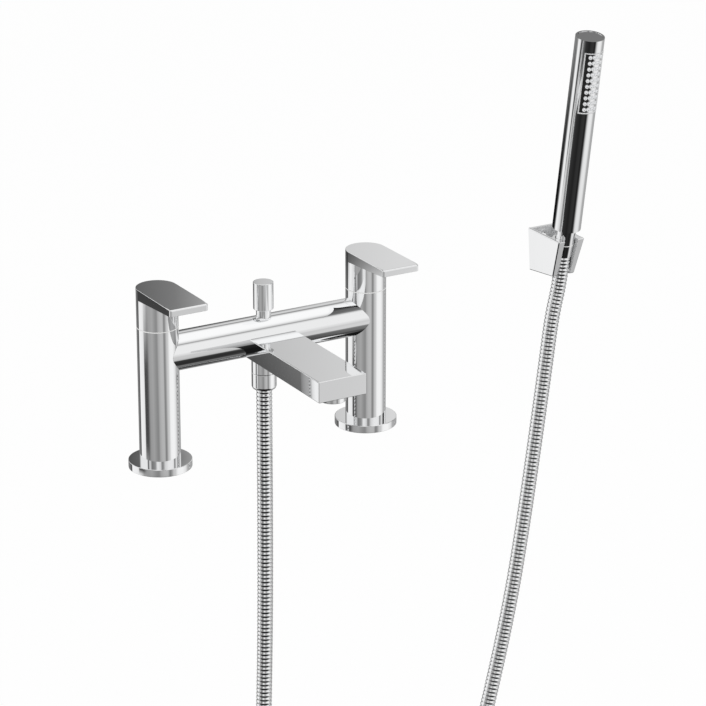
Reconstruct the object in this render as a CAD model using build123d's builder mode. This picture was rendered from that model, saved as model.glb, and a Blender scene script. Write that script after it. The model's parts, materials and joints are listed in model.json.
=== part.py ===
from build123d import *
from math import cos, degrees, pi, radians, sin, sqrt, tan
import os

os.makedirs("parts", exist_ok=True)

# Two-hole deck mixer for a bath, with a hand shower on a hose. Millimetres. The origin lies on the
# deck, midway between the two inlets; X runs along the crossbar, -Y is the spout's way, Z is up.

# Clearances and overruns
fixed_gap = 0.1
running_gap = 0.05
seat_gap = 0.3
overrun = 1.0
edge_break = 0.4

# Inlets, pillars and their foot flanges
inlet_spacing = 180.0
pillar_diameter = 31.5
pillar_above_bar = 7.0
flange_diameter = 48.5
flange_rim_height = 5.5
flange_rise = 4.3
flange_seal_thickness = 1.5
flange_inner_land = 2.4
flange_outer_land = 2.9
inlet_thread_diameter = 24.12
inlet_thread_length = 16.0
inlet_bush_wall = 1.8
inlet_bush_length = 30.0
waterway_diameter = 20.0

# Ceramic disc cartridges in the pillars
cartridge_pocket_diameter = 24.0
cartridge_depth = 34.0
cartridge_thread_length = 12.0
cartridge_collar_height = 9.0
cartridge_neck_height = 4.0
cartridge_neck_diameter = 13.0
cartridge_skirt_diameter = 19.0
cartridge_skirt_wall = 1.4
cartridge_window_diameter = 6.5
seat_land = 8.0
seat_bore_diameter = 11.0
seat_seal_thickness = 2.0
disc_thickness = 3.0
disc_port_diameter = 4.0
spindle_diameter = 8.0
spindle_foot_height = 2.5
spindle_reach = 10.5
spindle_ring_height = 2.0

# Lever handles
lever_reach = 53.0
lever_height = 30.5
lever_back_thickness = 9.3
lever_front_thickness = 5.2
lever_front_round = 1.4
lever_corner_round = 1.6
seam_ring_thickness = 0.7
seam_ring_inset = 0.15
lever_screw_diameter = 5.0
lever_screw_socket = 2.5
lever_screw_socket_depth = 2.0

# Crossbar and its ports
bar_diameter = 30.0
bar_height = 90.0
bar_waterway_diameter = 13.0
bar_spigot_diameter = 17.8
chamber_diameter = 14.4
chamber_floor_wall = 4.0
chamber_roof_wall = 8.0

# Spout and aerator
spout_reach = 121.0
spout_width = 40.0
spout_height = 16.5
spout_above_bar_axis = 3.5
spout_edge = 0.7
spout_side_wall = 5.0
spout_roof_wall = 3.5
spout_floor_wall = 5.0
spout_tip_wall = 4.0
spout_root_wall = 3.0
spout_spigot_diameter = 11.0
spout_spigot_bore = 8.0
aerator_setback = 15.0
aerator_diameter = 20.5
aerator_drop = 5.5
aerator_thread_diameter = 17.9
aerator_thread_height = 2.9
aerator_washer_thickness = 1.0
aerator_washer_width = 1.8
aerator_wall = 2.6
aerator_insert_thickness = 2.0
aerator_insert_recess = 1.2
aerator_hole_diameter = 2.2
aerator_hole_spacing = 3.1
aerator_lip = 0.8

# Diverter in the middle of the crossbar
guide_diameter = 11.3
guide_rise = 5.2
guide_depth = 8.0
diverter_ring_height = 2.0
diverter_ring_width = 1.6
rod_diameter = 5.0
knob_diameter = 15.6
knob_height = 21.5
knob_edge = 0.5
knob_top_wall = 6.0
piston_diameter = 12.4
piston_height = 3.2
piston_washer_thickness = 1.5
piston_washer_diameter = 13.6
spring_gap = 0.7
spring_wall = 1.2

# Shower outlet under the crossbar
outlet_diameter = 19.3
outlet_drop = 15.4
outlet_spigot_diameter = 14.2
outlet_bore = 9.0
outlet_thread_diameter = 15.0
outlet_thread_length = 7.0
check_valve_length = 12.0
check_valve_bore = 4.0
check_valve_recess = 3.0
hose_nut_height = 13.0
hose_nut_foot_diameter = 16.0
hose_washer_thickness = 1.8
nut_seam = 0.3
thread_gap = 0.1

# Hose
hose_diameter = 12.5
hose_groove = 0.7
hose_bore = 9.0
hose_ribs = 110
rib_shares = (0.06, 0.22, 0.72, 0.88)
bend_share = 0.45
hose_tail = 26.2
hose_loop = (
    (0, 0, -85),
    (-2.5, 0.3, -225),
    (-8, 1.5, -355),
    (-2, 5, -416),
    (24, 12, -467),
    (60, 20, -495),
    (100.7, 26, -502),
    (141, 30, -491),
    (173.5, 32, -462),
    (200, 33, -407),
    (231, 35, -293.6),
    (252.6, 38, -210),
    (268.3, 44, -141.7),
    (282.3, 50, -73.3),
    (295, 55, -5.2),
    (301.8, 57.6, 34),
)

# Handset
handset_foot = (308.9, 50.0, 111.1)
handset_lean = 9.25
handset_diameter = 23.6
handset_length = 168.8
handset_wall = 1.6
cap_thickness = 3.0
cap_recess = 0.3
cap_rim = 0.9
cap_skirt_height = 6.0
panel_top_margin = 10.0
panel_height = 52.6
panel_half_angle = 49.0
panel_recess = 0.25
panel_thickness = 0.8
nozzle_rows = 10
nozzle_row_spacing = 5.0
nozzle_angles = (-24.0, -8.0, 8.0, 24.0)
nozzle_diameter = 2.6
nozzle_root = 1.2
nozzle_sides = 6
nozzle_stand = 1.0

# Handset inlet, its swivel nut and seals
neck_top_diameter = 17.0
neck_length = 13.8
neck_foot_diameter = 15.5
neck_plug_height = 12.0
neck_bore = 7.0
neck_spigot_diameter = 11.6
handset_ring_thickness = 0.7
handset_nut_height = 10.9
handset_nut_foot_diameter = 13.4
handset_nut_floor = 3.0
handset_washer_thickness = 1.4
filter_thickness = 2.0
filter_depth = 4.0
filter_hole_diameter = 1.6
filter_hole_offset = 2.3

# Wall bracket
wall_y = 87.5
bracket_top = 102.0
bracket_back_height = 37.0
bracket_front_height = 33.0
bracket_depth_top = 45.7
bracket_depth_foot = 34.5
bracket_top_width = 25.2
bracket_foot_width = 20.8
bracket_wall = 2.2
bracket_back_wall = 3.0
bracket_cup_wall = 1.6
bracket_slot_width = 13.0
bracket_edge = 0.5
bracket_screw_diameter = 4.4
bracket_screw_spacing = 24.0
bracket_boss_diameter = 8.6
bracket_boss_height = 1.6

# Places and radii that follow from the sizes above
pillar_radius = pillar_diameter / 2
bar_radius = bar_diameter / 2
bar_top = bar_height + bar_radius
bar_bottom = bar_height - bar_radius
pillar_top = bar_top + pillar_above_bar
foot_height = flange_rim_height + flange_rise
bush_radius = inlet_thread_diameter / 2 + inlet_bush_wall
waterway_radius = waterway_diameter / 2
pocket_radius = cartridge_pocket_diameter / 2
seat_top = pillar_top - cartridge_depth
lever_bottom = pillar_top + seam_ring_thickness + fixed_gap
lever_top = lever_bottom + lever_height
collar_top = pillar_top + cartridge_collar_height
neck_top = collar_top + cartridge_neck_height
spindle_radius = spindle_diameter / 2
spindle_top = neck_top + spindle_reach
skirt_radius = cartridge_skirt_diameter / 2
cavity_radius = skirt_radius - cartridge_skirt_wall
seal_top = seat_top + seat_seal_thickness
fixed_disc_top = seal_top + disc_thickness
moving_disc_bottom = fixed_disc_top + running_gap
moving_disc_top = moving_disc_bottom + disc_thickness
spindle_foot_top = moving_disc_top + spindle_foot_height
thread_bottom = pillar_top - cartridge_thread_length
spigot_radius = bar_spigot_diameter / 2
chamber_radius = chamber_diameter / 2
chamber_floor = bar_bottom + chamber_floor_wall
chamber_roof = bar_top - chamber_roof_wall
spout_top = bar_height + spout_above_bar_axis
spout_bottom = spout_top - spout_height
spout_middle = spout_top - spout_height / 2
aerator_y = -spout_reach + aerator_setback
aerator_radius = aerator_diameter / 2
guide_radius = guide_diameter / 2
guide_top = bar_top + guide_rise
guide_bottom = bar_top - guide_depth
rod_radius = rod_diameter / 2
knob_bottom = guide_top + seat_gap
knob_top = knob_bottom + knob_height
piston_washer_bottom = chamber_floor + seat_gap
piston_bottom = piston_washer_bottom + piston_washer_thickness
piston_top = piston_bottom + piston_height
outlet_radius = outlet_diameter / 2
outlet_bottom = bar_bottom - outlet_drop
outlet_thread_bottom = outlet_bottom - outlet_thread_length
hose_nut_top = outlet_bottom - nut_seam
hose_nut_bottom = hose_nut_top - hose_nut_height
hose_washer_bottom = outlet_thread_bottom - fixed_gap - hose_washer_thickness
handset_radius = handset_diameter / 2
shell_bore_radius = handset_radius - handset_wall
panel_start = handset_length - panel_top_margin - panel_height
ring_top = -neck_length
nut_top = ring_top - handset_ring_thickness
nut_bottom = nut_top - handset_nut_height
spigot_bottom = nut_bottom + handset_nut_floor + handset_washer_thickness + running_gap

# Planes that the pieces are drawn on
bar_plane = Plane(origin=(0, 0, bar_height), x_dir=(0, 1, 0), z_dir=(1, 0, 0))
front_plane = Plane(origin=(0, 0, 0), x_dir=(1, 0, 0), z_dir=(0, -1, 0))
lean = radians(handset_lean)
handset_way = Vector(0, -sin(lean), cos(lean))
handset_plane = Plane(origin=handset_foot, x_dir=(1, 0, 0), z_dir=handset_way)
handset_profile = Plane(origin=handset_foot, x_dir=(1, 0, 0), z_dir=(0, -cos(lean), -sin(lean)))
handset_axis = Axis(handset_foot, handset_way)


def outline(plane, points):
    """A closed face on a plane, from the corners of its outline."""
    with BuildSketch(plane, mode=Mode.PRIVATE) as drawn:
        with BuildLine():
            Polyline(*points, close=True)
        make_face()
    return drawn.sketch


def disc(plane, radius, hole=0):
    """A round face on a plane, with a round hole in its middle if one is given."""
    with BuildSketch(plane, mode=Mode.PRIVATE) as drawn:
        Circle(radius)
        if hole:
            Circle(hole, mode=Mode.SUBTRACT)
    return drawn.sketch


def ring_sector(plane, outer, inner, half_angle):
    """Part of a ring on a plane, as wide each side of the plane's -Y as the half angle."""
    reach = outer / cos(radians(half_angle)) + overrun
    corner = (reach * sin(radians(half_angle)), -reach * cos(radians(half_angle)))
    with BuildSketch(plane, mode=Mode.PRIVATE) as drawn:
        Circle(outer)
        Circle(inner, mode=Mode.SUBTRACT)
        Polygon((0, 0), (-corner[0], corner[1]), (0, -reach), corner, align=None, mode=Mode.INTERSECT)
    return drawn.sketch


# Both columns: hot on -X, cold on +X. A column has a pillar, a foot and a cartridge with its lever.
for side, way in (("hot", -1), ("cold", 1)):
    column_x = way * inlet_spacing / 2
    column = Plane(origin=(column_x, 0, 0))
    column_profile = Plane(origin=(column_x, 0, 0), x_dir=(1, 0, 0), z_dir=(0, -1, 0))
    column_axis = Axis((column_x, 0, 0), (0, 0, 1))
    inward = Plane(origin=(column_x, 0, bar_height), x_dir=(0, 1, 0), z_dir=(-way, 0, 0))

    # Pillar: a turned tube with a socket for the inlet bush, a seat and the cartridge's pocket
    socket_radius = bush_radius + fixed_gap
    socket_top = inlet_bush_length + fixed_gap
    with BuildPart() as pillar:
        pillar_outline = (
            (socket_radius, foot_height),
            (pillar_radius, foot_height),
            (pillar_radius, pillar_top),
            (pocket_radius, pillar_top),
            (pocket_radius, seat_top),
            (seat_bore_diameter / 2, seat_top),
            (seat_bore_diameter / 2, seat_top - seat_land),
            (waterway_radius, seat_top - seat_land),
            (waterway_radius, socket_top),
            (socket_radius, socket_top),
        )
        revolve(outline(column_profile, pillar_outline), axis=column_axis)
        extrude(disc(inward, spigot_radius + fixed_gap), amount=pillar_radius + overrun, mode=Mode.SUBTRACT)
    pillar.part.label = f"{side}_pillar"
    export_step(pillar.part, f"parts/{side}_pillar.step")

    # Foot flange: a low cone round the pillar's foot, with a recess for its seal underneath
    seal_outer = flange_diameter / 2 - flange_outer_land
    seal_inner = bush_radius + fixed_gap + flange_inner_land
    with BuildPart() as flange:
        flange_outline = (
            (bush_radius + fixed_gap, 0),
            (flange_diameter / 2, 0),
            (flange_diameter / 2, flange_rim_height - edge_break),
            (flange_diameter / 2 - edge_break, flange_rim_height),
            (pillar_radius, foot_height),
            (bush_radius + fixed_gap, foot_height),
        )
        revolve(outline(column_profile, flange_outline), axis=column_axis)
        seal_recess = disc(column, seal_outer + fixed_gap, seal_inner - fixed_gap)
        extrude(seal_recess, amount=flange_seal_thickness + fixed_gap, mode=Mode.SUBTRACT)
    flange.part.label = f"{side}_flange"
    export_step(flange.part, f"parts/{side}_flange.step")

    with BuildPart() as flange_seal:
        extrude(disc(column, seal_outer, seal_inner), amount=flange_seal_thickness)
    flange_seal.part.label = f"{side}_flange_seal"
    export_step(flange_seal.part, f"parts/{side}_flange_seal.step")

    # Inlet bush: the threaded socket that a supply tail screws into, flush with the deck
    with BuildPart() as inlet_bush:
        bush_outline = (
            (inlet_thread_diameter / 2, 0),
            (bush_radius, 0),
            (bush_radius, inlet_bush_length),
            (waterway_radius, inlet_bush_length),
            (waterway_radius, inlet_thread_length),
            (inlet_thread_diameter / 2, inlet_thread_length),
        )
        revolve(outline(column_profile, bush_outline), axis=column_axis)
    inlet_bush.part.label = f"{side}_inlet_bush"
    export_step(inlet_bush.part, f"parts/{side}_inlet_bush.step")

    # Cartridge body: windowed skirt, threaded middle, collar and neck, bored for the spindle
    spindle_bore = spindle_radius + running_gap
    with BuildPart() as cartridge_body:
        body_outline = (
            (cavity_radius, seat_top),
            (skirt_radius, seat_top),
            (skirt_radius, thread_bottom),
            (pocket_radius - thread_gap, thread_bottom),
            (pocket_radius - thread_gap, collar_top),
            (cartridge_neck_diameter / 2, collar_top),
            (cartridge_neck_diameter / 2, neck_top),
            (spindle_bore + spindle_ring_height / 2, neck_top),
            (spindle_bore + spindle_ring_height / 2, neck_top - spindle_ring_height),
            (spindle_bore, neck_top - spindle_ring_height),
            (spindle_bore, thread_bottom),
            (cavity_radius, thread_bottom),
        )
        revolve(outline(column_profile, body_outline), axis=column_axis)
        window_height = (spindle_foot_top + thread_bottom) / 2
        window_plane = Plane(origin=(column_x, 0, window_height), x_dir=(0, 1, 0), z_dir=(1, 0, 0))
        window = disc(window_plane, cartridge_window_diameter / 2)
        extrude(window, amount=skirt_radius + overrun, both=True, mode=Mode.SUBTRACT)
    cartridge_body.part.label = f"{side}_cartridge_body"
    export_step(cartridge_body.part, f"parts/{side}_cartridge_body.step")

    disc_radius = cavity_radius - fixed_gap
    with BuildPart() as seat_seal:
        seal_face = disc(column.offset(seat_top), disc_radius, seat_bore_diameter / 2)
        extrude(seal_face, amount=seat_seal_thickness)
    seat_seal.part.label = f"{side}_seat_seal"
    export_step(seat_seal.part, f"parts/{side}_seat_seal.step")

    # The ceramic discs have two ports each, side by side
    port_offset = disc_radius / 2
    with BuildPart() as fixed_disc:
        extrude(disc(column.offset(seal_top), disc_radius), amount=disc_thickness)
        with BuildSketch(column.offset(seal_top)):
            with Locations((0, port_offset), (0, -port_offset)):
                Circle(disc_port_diameter / 2)
        extrude(amount=disc_thickness, mode=Mode.SUBTRACT)
    fixed_disc.part.label = f"{side}_fixed_disc"
    export_step(fixed_disc.part, f"parts/{side}_fixed_disc.step")

    with BuildPart() as moving_disc:
        extrude(disc(column.offset(moving_disc_bottom), disc_radius - fixed_gap), amount=disc_thickness)
        with BuildSketch(column.offset(moving_disc_bottom)):
            with Locations((port_offset, 0), (-port_offset, 0)):
                Circle(disc_port_diameter / 2)
        extrude(amount=disc_thickness, mode=Mode.SUBTRACT)
    moving_disc.part.label = f"{side}_moving_disc"
    export_step(moving_disc.part, f"parts/{side}_moving_disc.step")

    with BuildPart() as spindle:
        extrude(disc(column.offset(moving_disc_top), disc_radius - seat_gap), amount=spindle_foot_height)
        extrude(disc(column.offset(moving_disc_top), spindle_radius), amount=spindle_top - moving_disc_top)
    spindle.part.label = f"{side}_spindle"
    export_step(spindle.part, f"parts/{side}_spindle.step")

    with BuildPart() as spindle_ring:
        ring_outer = spindle_bore + spindle_ring_height / 2 - running_gap
        ring_base = column.offset(neck_top - spindle_ring_height)
        extrude(disc(ring_base, ring_outer, spindle_bore), amount=spindle_ring_height)
    spindle_ring.part.label = f"{side}_spindle_ring"
    export_step(spindle_ring.part, f"parts/{side}_spindle_ring.step")

    # Pale slip ring between the pillar and the turning sleeve
    sleeve_bore = pocket_radius + seat_gap
    with BuildPart() as seam_ring:
        seam_face = disc(column.offset(pillar_top), pillar_radius - seam_ring_inset, sleeve_bore)
        extrude(seam_face, amount=seam_ring_thickness)
    seam_ring.part.label = f"{side}_seam_ring"
    export_step(seam_ring.part, f"parts/{side}_seam_ring.step")

    # Lever: a flat paddle with a round back, tapering underneath to its front, on a bored sleeve
    screw_height = (neck_top + spindle_top) / 2
    screw_plane = Plane(origin=(column_x, 0, screw_height), x_dir=(1, 0, 0), z_dir=(0, 1, 0))
    underside_rise = lever_back_thickness - lever_front_thickness
    with BuildPart() as lever:
        with BuildSketch(column.offset(lever_top - lever_back_thickness)):
            Circle(pillar_radius)
            Rectangle(pillar_diameter, lever_reach, align=(Align.CENTER, Align.MAX))
        extrude(amount=lever_back_thickness)
        underside = Plane(origin=(column_x - pillar_radius - overrun, 0, 0), x_dir=(0, 1, 0), z_dir=(1, 0, 0))
        wedge_outline = (
            (pillar_radius, lever_top - lever_back_thickness),
            (pillar_radius, lever_top - lever_back_thickness - overrun),
            (-lever_reach - overrun, lever_top - lever_back_thickness - overrun),
            (-lever_reach - overrun, lever_top - lever_front_thickness),
            (-lever_reach, lever_top - lever_front_thickness),
        )
        extrude(outline(underside, wedge_outline), amount=pillar_diameter + 2 * overrun, mode=Mode.SUBTRACT)
        front = lever.faces().sort_by(Axis.Y)[0]
        fillet(front.edges().filter_by(Axis.Z), radius=lever_corner_round)
        lip = lever.edges().filter_by(Axis.X).group_by(Axis.Z)[-1].sort_by(Axis.Y)[0]
        fillet(lip, radius=min(lever_front_round, lever_front_thickness / 3))
        sleeve_height = lever_top - lever_back_thickness + underside_rise / 2 - lever_bottom
        sleeve_foot = column.offset(lever_bottom)
        extrude(disc(sleeve_foot, pillar_radius), amount=sleeve_height)
        sleeve_depth = neck_top + seat_gap - lever_bottom
        extrude(disc(sleeve_foot, sleeve_bore), amount=sleeve_depth, mode=Mode.SUBTRACT)
        socket_depth = spindle_top + seat_gap - lever_bottom
        extrude(disc(sleeve_foot, spindle_radius + fixed_gap), amount=socket_depth, mode=Mode.SUBTRACT)
        screw_hole = disc(screw_plane, lever_screw_diameter / 2 + fixed_gap)
        extrude(screw_hole, amount=pillar_radius + overrun, mode=Mode.SUBTRACT)
    lever.part.label = f"{side}_lever"
    export_step(lever.part, f"parts/{side}_lever.step")

    # Grub screw that clamps the sleeve on the spindle from behind
    with BuildPart() as lever_screw:
        screw_length = pillar_radius - spindle_radius - fixed_gap - edge_break
        screw_start = screw_plane.offset(spindle_radius + fixed_gap)
        extrude(disc(screw_start, lever_screw_diameter / 2), amount=screw_length)
        with BuildSketch(screw_plane.offset(pillar_radius - edge_break)):
            RegularPolygon(lever_screw_socket / 2, 6, major_radius=False)
        extrude(amount=-lever_screw_socket_depth, mode=Mode.SUBTRACT)
    lever_screw.part.label = f"{side}_lever_screw"
    export_step(lever_screw.part, f"parts/{side}_lever_screw.step")

# Crossbar: a bored tube whose ends are coped to the pillars, with a spigot into each of them
with BuildPart() as crossbar:
    extrude(disc(bar_plane, bar_radius), amount=inlet_spacing / 2, both=True)
    for way in (-1, 1):
        cope = disc(Plane(origin=(way * inlet_spacing / 2, 0, 0)), pillar_radius + running_gap)
        extrude(cope, amount=pillar_top, mode=Mode.SUBTRACT)
    spigot_reach = inlet_spacing / 2 - pocket_radius - seat_gap
    extrude(disc(bar_plane, spigot_radius), amount=spigot_reach, both=True)
    bar_waterway = disc(bar_plane, bar_waterway_diameter / 2)
    extrude(bar_waterway, amount=spigot_reach + overrun, both=True, mode=Mode.SUBTRACT)
    chamber_height = chamber_roof - chamber_floor
    extrude(disc(Plane.XY.offset(chamber_floor), chamber_radius), amount=chamber_height, mode=Mode.SUBTRACT)
    guide_hole = disc(Plane.XY.offset(chamber_roof - overrun), guide_radius + fixed_gap)
    extrude(guide_hole, amount=chamber_roof_wall + 2 * overrun, mode=Mode.SUBTRACT)
    outlet_hole = disc(Plane.XY.offset(bar_bottom - overrun), outlet_spigot_diameter / 2 + fixed_gap)
    extrude(outlet_hole, amount=chamber_floor_wall + overrun, mode=Mode.SUBTRACT)
    spout_port = Plane(origin=(0, 0, spout_middle), x_dir=(1, 0, 0), z_dir=(0, -1, 0))
    extrude(disc(spout_port, spout_spigot_diameter / 2 + fixed_gap), amount=bar_diameter, mode=Mode.SUBTRACT)
crossbar.part.label = "crossbar"
export_step(crossbar.part, "parts/crossbar.step")

# Spout: a flat rectangular arm, hollow inside, coped to the bar and joined to it by a round spigot
spout_root = sqrt(bar_radius**2 - (spout_middle - bar_height) ** 2)
channel_width = spout_width - 2 * spout_side_wall
channel_height = spout_height - spout_roof_wall - spout_floor_wall
channel_start = -bar_radius - spout_root_wall
channel_end = -spout_reach + spout_tip_wall
with BuildPart() as spout:
    with BuildSketch(Plane.XY.offset(spout_bottom)):
        Rectangle(spout_width, spout_reach, align=(Align.CENTER, Align.MAX))
    extrude(amount=spout_height)
    fillet(spout.edges().filter_by(Axis.Y), radius=spout_edge)
    fillet(spout.faces().sort_by(Axis.Y)[0].edges(), radius=spout_edge / 2)
    extrude(disc(bar_plane, bar_radius + running_gap), amount=spout_width, both=True, mode=Mode.SUBTRACT)
    with BuildSketch(Plane.XY.offset(spout_bottom + spout_floor_wall)):
        with Locations((0, channel_start)):
            Rectangle(channel_width, channel_start - channel_end, align=(Align.CENTER, Align.MAX))
    extrude(amount=channel_height, mode=Mode.SUBTRACT)
    spigot_start = chamber_radius + seat_gap
    spigot_plane = spout_port.offset(spigot_start)
    extrude(disc(spigot_plane, spout_spigot_diameter / 2), amount=spout_root + overrun - spigot_start)
    spigot_bore = disc(spigot_plane, spout_spigot_bore / 2)
    extrude(spigot_bore, amount=-channel_start + overrun - spigot_start, mode=Mode.SUBTRACT)
    aerator_place = Plane(origin=(0, aerator_y, spout_bottom))
    thread_hole = disc(aerator_place, aerator_thread_diameter / 2 + fixed_gap)
    thread_depth = aerator_thread_height + aerator_washer_thickness + fixed_gap
    extrude(thread_hole, amount=thread_depth, mode=Mode.SUBTRACT)
    ledge_hole = disc(aerator_place, aerator_thread_diameter / 2 - aerator_washer_width)
    extrude(ledge_hole, amount=spout_floor_wall + overrun, mode=Mode.SUBTRACT)
spout.part.label = "spout"
export_step(spout.part, "parts/spout.step")

# Aerator: a knurled ring screwed into the spout, with a perforated insert and a sealing washer
aerator_profile = Plane(origin=(0, aerator_y, 0), x_dir=(1, 0, 0), z_dir=(0, -1, 0))
aerator_axis = Axis((0, aerator_y, 0), (0, 0, 1))
aerator_bottom = spout_bottom - aerator_drop
aerator_bore = aerator_thread_diameter / 2 - aerator_wall + aerator_lip
insert_bottom = aerator_bottom + aerator_insert_recess
with BuildPart() as aerator_housing:
    housing_outline = (
        (aerator_bore - aerator_lip, aerator_bottom),
        (aerator_radius - edge_break, aerator_bottom),
        (aerator_radius, aerator_bottom + edge_break),
        (aerator_radius, spout_bottom),
        (aerator_thread_diameter / 2, spout_bottom),
        (aerator_thread_diameter / 2, spout_bottom + aerator_thread_height),
        (aerator_bore, spout_bottom + aerator_thread_height),
        (aerator_bore, insert_bottom),
        (aerator_bore - aerator_lip, insert_bottom),
    )
    revolve(outline(aerator_profile, housing_outline), axis=aerator_axis)
aerator_housing.part.label = "aerator_housing"
export_step(aerator_housing.part, "parts/aerator_housing.step")

with BuildPart() as aerator_insert:
    insert_plane = Plane(origin=(0, aerator_y, insert_bottom))
    extrude(disc(insert_plane, aerator_bore - fixed_gap), amount=aerator_insert_thickness)
    with BuildSketch(insert_plane):
        with GridLocations(aerator_hole_spacing, aerator_hole_spacing, 3, 3):
            Circle(aerator_hole_diameter / 2)
    extrude(amount=aerator_insert_thickness, mode=Mode.SUBTRACT)
aerator_insert.part.label = "aerator_insert"
export_step(aerator_insert.part, "parts/aerator_insert.step")

with BuildPart() as aerator_washer:
    washer_plane = Plane(origin=(0, aerator_y, spout_bottom + aerator_thread_height))
    washer_outer = aerator_thread_diameter / 2
    aerator_washer_face = disc(washer_plane, washer_outer, washer_outer - aerator_washer_width)
    extrude(aerator_washer_face, amount=aerator_washer_thickness)
aerator_washer.part.label = "aerator_washer"
export_step(aerator_washer.part, "parts/aerator_washer.step")

# Diverter: a guide screwed into the bar, and a knob, rod and piston that lift together
ring_bore = rod_radius + running_gap
with BuildPart() as diverter_guide:
    guide_outline = (
        (ring_bore, guide_top),
        (guide_radius - edge_break, guide_top),
        (guide_radius, guide_top - edge_break),
        (guide_radius, guide_bottom),
        (ring_bore + diverter_ring_width, guide_bottom),
        (ring_bore + diverter_ring_width, guide_bottom + diverter_ring_height),
        (ring_bore, guide_bottom + diverter_ring_height),
    )
    revolve(outline(front_plane, guide_outline), axis=Axis.Z)
diverter_guide.part.label = "diverter_guide"
export_step(diverter_guide.part, "parts/diverter_guide.step")

with BuildPart() as diverter_ring:
    diverter_ring_plane = Plane.XY.offset(guide_bottom)
    diverter_ring_outer = ring_bore + diverter_ring_width - running_gap
    extrude(disc(diverter_ring_plane, diverter_ring_outer, ring_bore), amount=diverter_ring_height)
diverter_ring.part.label = "diverter_ring"
export_step(diverter_ring.part, "parts/diverter_ring.step")

rod_top = knob_top - knob_top_wall
with BuildPart() as diverter_knob:
    extrude(disc(Plane.XY.offset(knob_bottom), knob_diameter / 2), amount=knob_height)
    fillet(diverter_knob.faces().sort_by(Axis.Z)[-1].edges(), radius=knob_edge)
    chamfer(diverter_knob.faces().sort_by(Axis.Z)[0].edges(), length=knob_edge)
    knob_bore = disc(Plane.XY.offset(knob_bottom), rod_radius + fixed_gap)
    extrude(knob_bore, amount=rod_top + fixed_gap - knob_bottom, mode=Mode.SUBTRACT)
diverter_knob.part.label = "diverter_knob"
export_step(diverter_knob.part, "parts/diverter_knob.step")

with BuildPart() as diverter_rod:
    extrude(disc(Plane.XY.offset(piston_washer_bottom), rod_radius), amount=rod_top - piston_washer_bottom)
diverter_rod.part.label = "diverter_rod"
export_step(diverter_rod.part, "parts/diverter_rod.step")

with BuildPart() as diverter_piston:
    piston_face = disc(Plane.XY.offset(piston_bottom), piston_diameter / 2, rod_radius + fixed_gap)
    extrude(piston_face, amount=piston_height)
diverter_piston.part.label = "diverter_piston"
export_step(diverter_piston.part, "parts/diverter_piston.step")

with BuildPart() as piston_washer:
    piston_foot = Plane.XY.offset(piston_washer_bottom)
    washer_face = disc(piston_foot, piston_washer_diameter / 2, rod_radius + fixed_gap)
    extrude(washer_face, amount=piston_washer_thickness)
piston_washer.part.label = "piston_washer"
export_step(piston_washer.part, "parts/piston_washer.step")

# Light return spring round the rod, between the piston and the guide
spring_bore = rod_radius + spring_gap
with BuildPart() as diverter_spring:
    spring_bottom = piston_top + fixed_gap
    spring_face = disc(Plane.XY.offset(spring_bottom), spring_bore + spring_wall, spring_bore)
    extrude(spring_face, amount=guide_bottom - fixed_gap - spring_bottom)
diverter_spring.part.label = "diverter_spring"
export_step(diverter_spring.part, "parts/diverter_spring.step")

# Shower outlet: a collar coped to the bar from below, with a spigot above and a thread below
with BuildPart() as shower_outlet:
    extrude(disc(Plane.XY.offset(outlet_bottom), outlet_radius), amount=chamber_floor - outlet_bottom)
    extrude(disc(bar_plane, bar_radius + running_gap), amount=outlet_diameter, both=True, mode=Mode.SUBTRACT)
    with BuildSketch(Plane.XY.offset(spout_bottom - running_gap)):
        Rectangle(outlet_diameter, outlet_diameter, align=(Align.CENTER, Align.MAX))
    extrude(amount=bar_radius, mode=Mode.SUBTRACT)
    outlet_spigot = disc(Plane.XY.offset(outlet_thread_bottom + overrun), outlet_spigot_diameter / 2)
    extrude(outlet_spigot, amount=chamber_floor - outlet_thread_bottom - overrun)
    outlet_foot = Plane.XY.offset(outlet_thread_bottom)
    extrude(disc(outlet_foot, outlet_thread_diameter / 2), amount=outlet_thread_length)
    outlet_height = chamber_floor - outlet_thread_bottom
    extrude(disc(outlet_foot, outlet_bore / 2), amount=outlet_height, mode=Mode.SUBTRACT)
shower_outlet.part.label = "shower_outlet"
export_step(shower_outlet.part, "parts/shower_outlet.step")

with BuildPart() as check_valve:
    valve_plane = Plane.XY.offset(outlet_thread_bottom + check_valve_recess)
    extrude(disc(valve_plane, outlet_bore / 2 - fixed_gap, check_valve_bore / 2), amount=check_valve_length)
check_valve.part.label = "check_valve"
export_step(check_valve.part, "parts/check_valve.step")

# Conical nut on the mixer's end of the hose, with its washer
nut_bore = outlet_thread_diameter / 2 + thread_gap
with BuildPart() as hose_nut:
    hose_nut_outline = (
        (hose_bore / 2, hose_nut_bottom),
        (hose_nut_foot_diameter / 2 - edge_break, hose_nut_bottom),
        (hose_nut_foot_diameter / 2, hose_nut_bottom + edge_break),
        (outlet_radius, hose_nut_top - edge_break),
        (outlet_radius - edge_break, hose_nut_top),
        (nut_bore, hose_nut_top),
        (nut_bore, hose_washer_bottom),
        (hose_bore / 2, hose_washer_bottom),
    )
    revolve(outline(front_plane, hose_nut_outline), axis=Axis.Z)
hose_nut.part.label = "hose_nut"
export_step(hose_nut.part, "parts/hose_nut.step")

with BuildPart() as hose_washer:
    hose_washer_face = disc(Plane.XY.offset(hose_washer_bottom), nut_bore - fixed_gap, hose_bore / 2)
    extrude(hose_washer_face, amount=hose_washer_thickness)
hose_washer.part.label = "hose_washer"
export_step(hose_washer.part, "parts/hose_washer.step")

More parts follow.
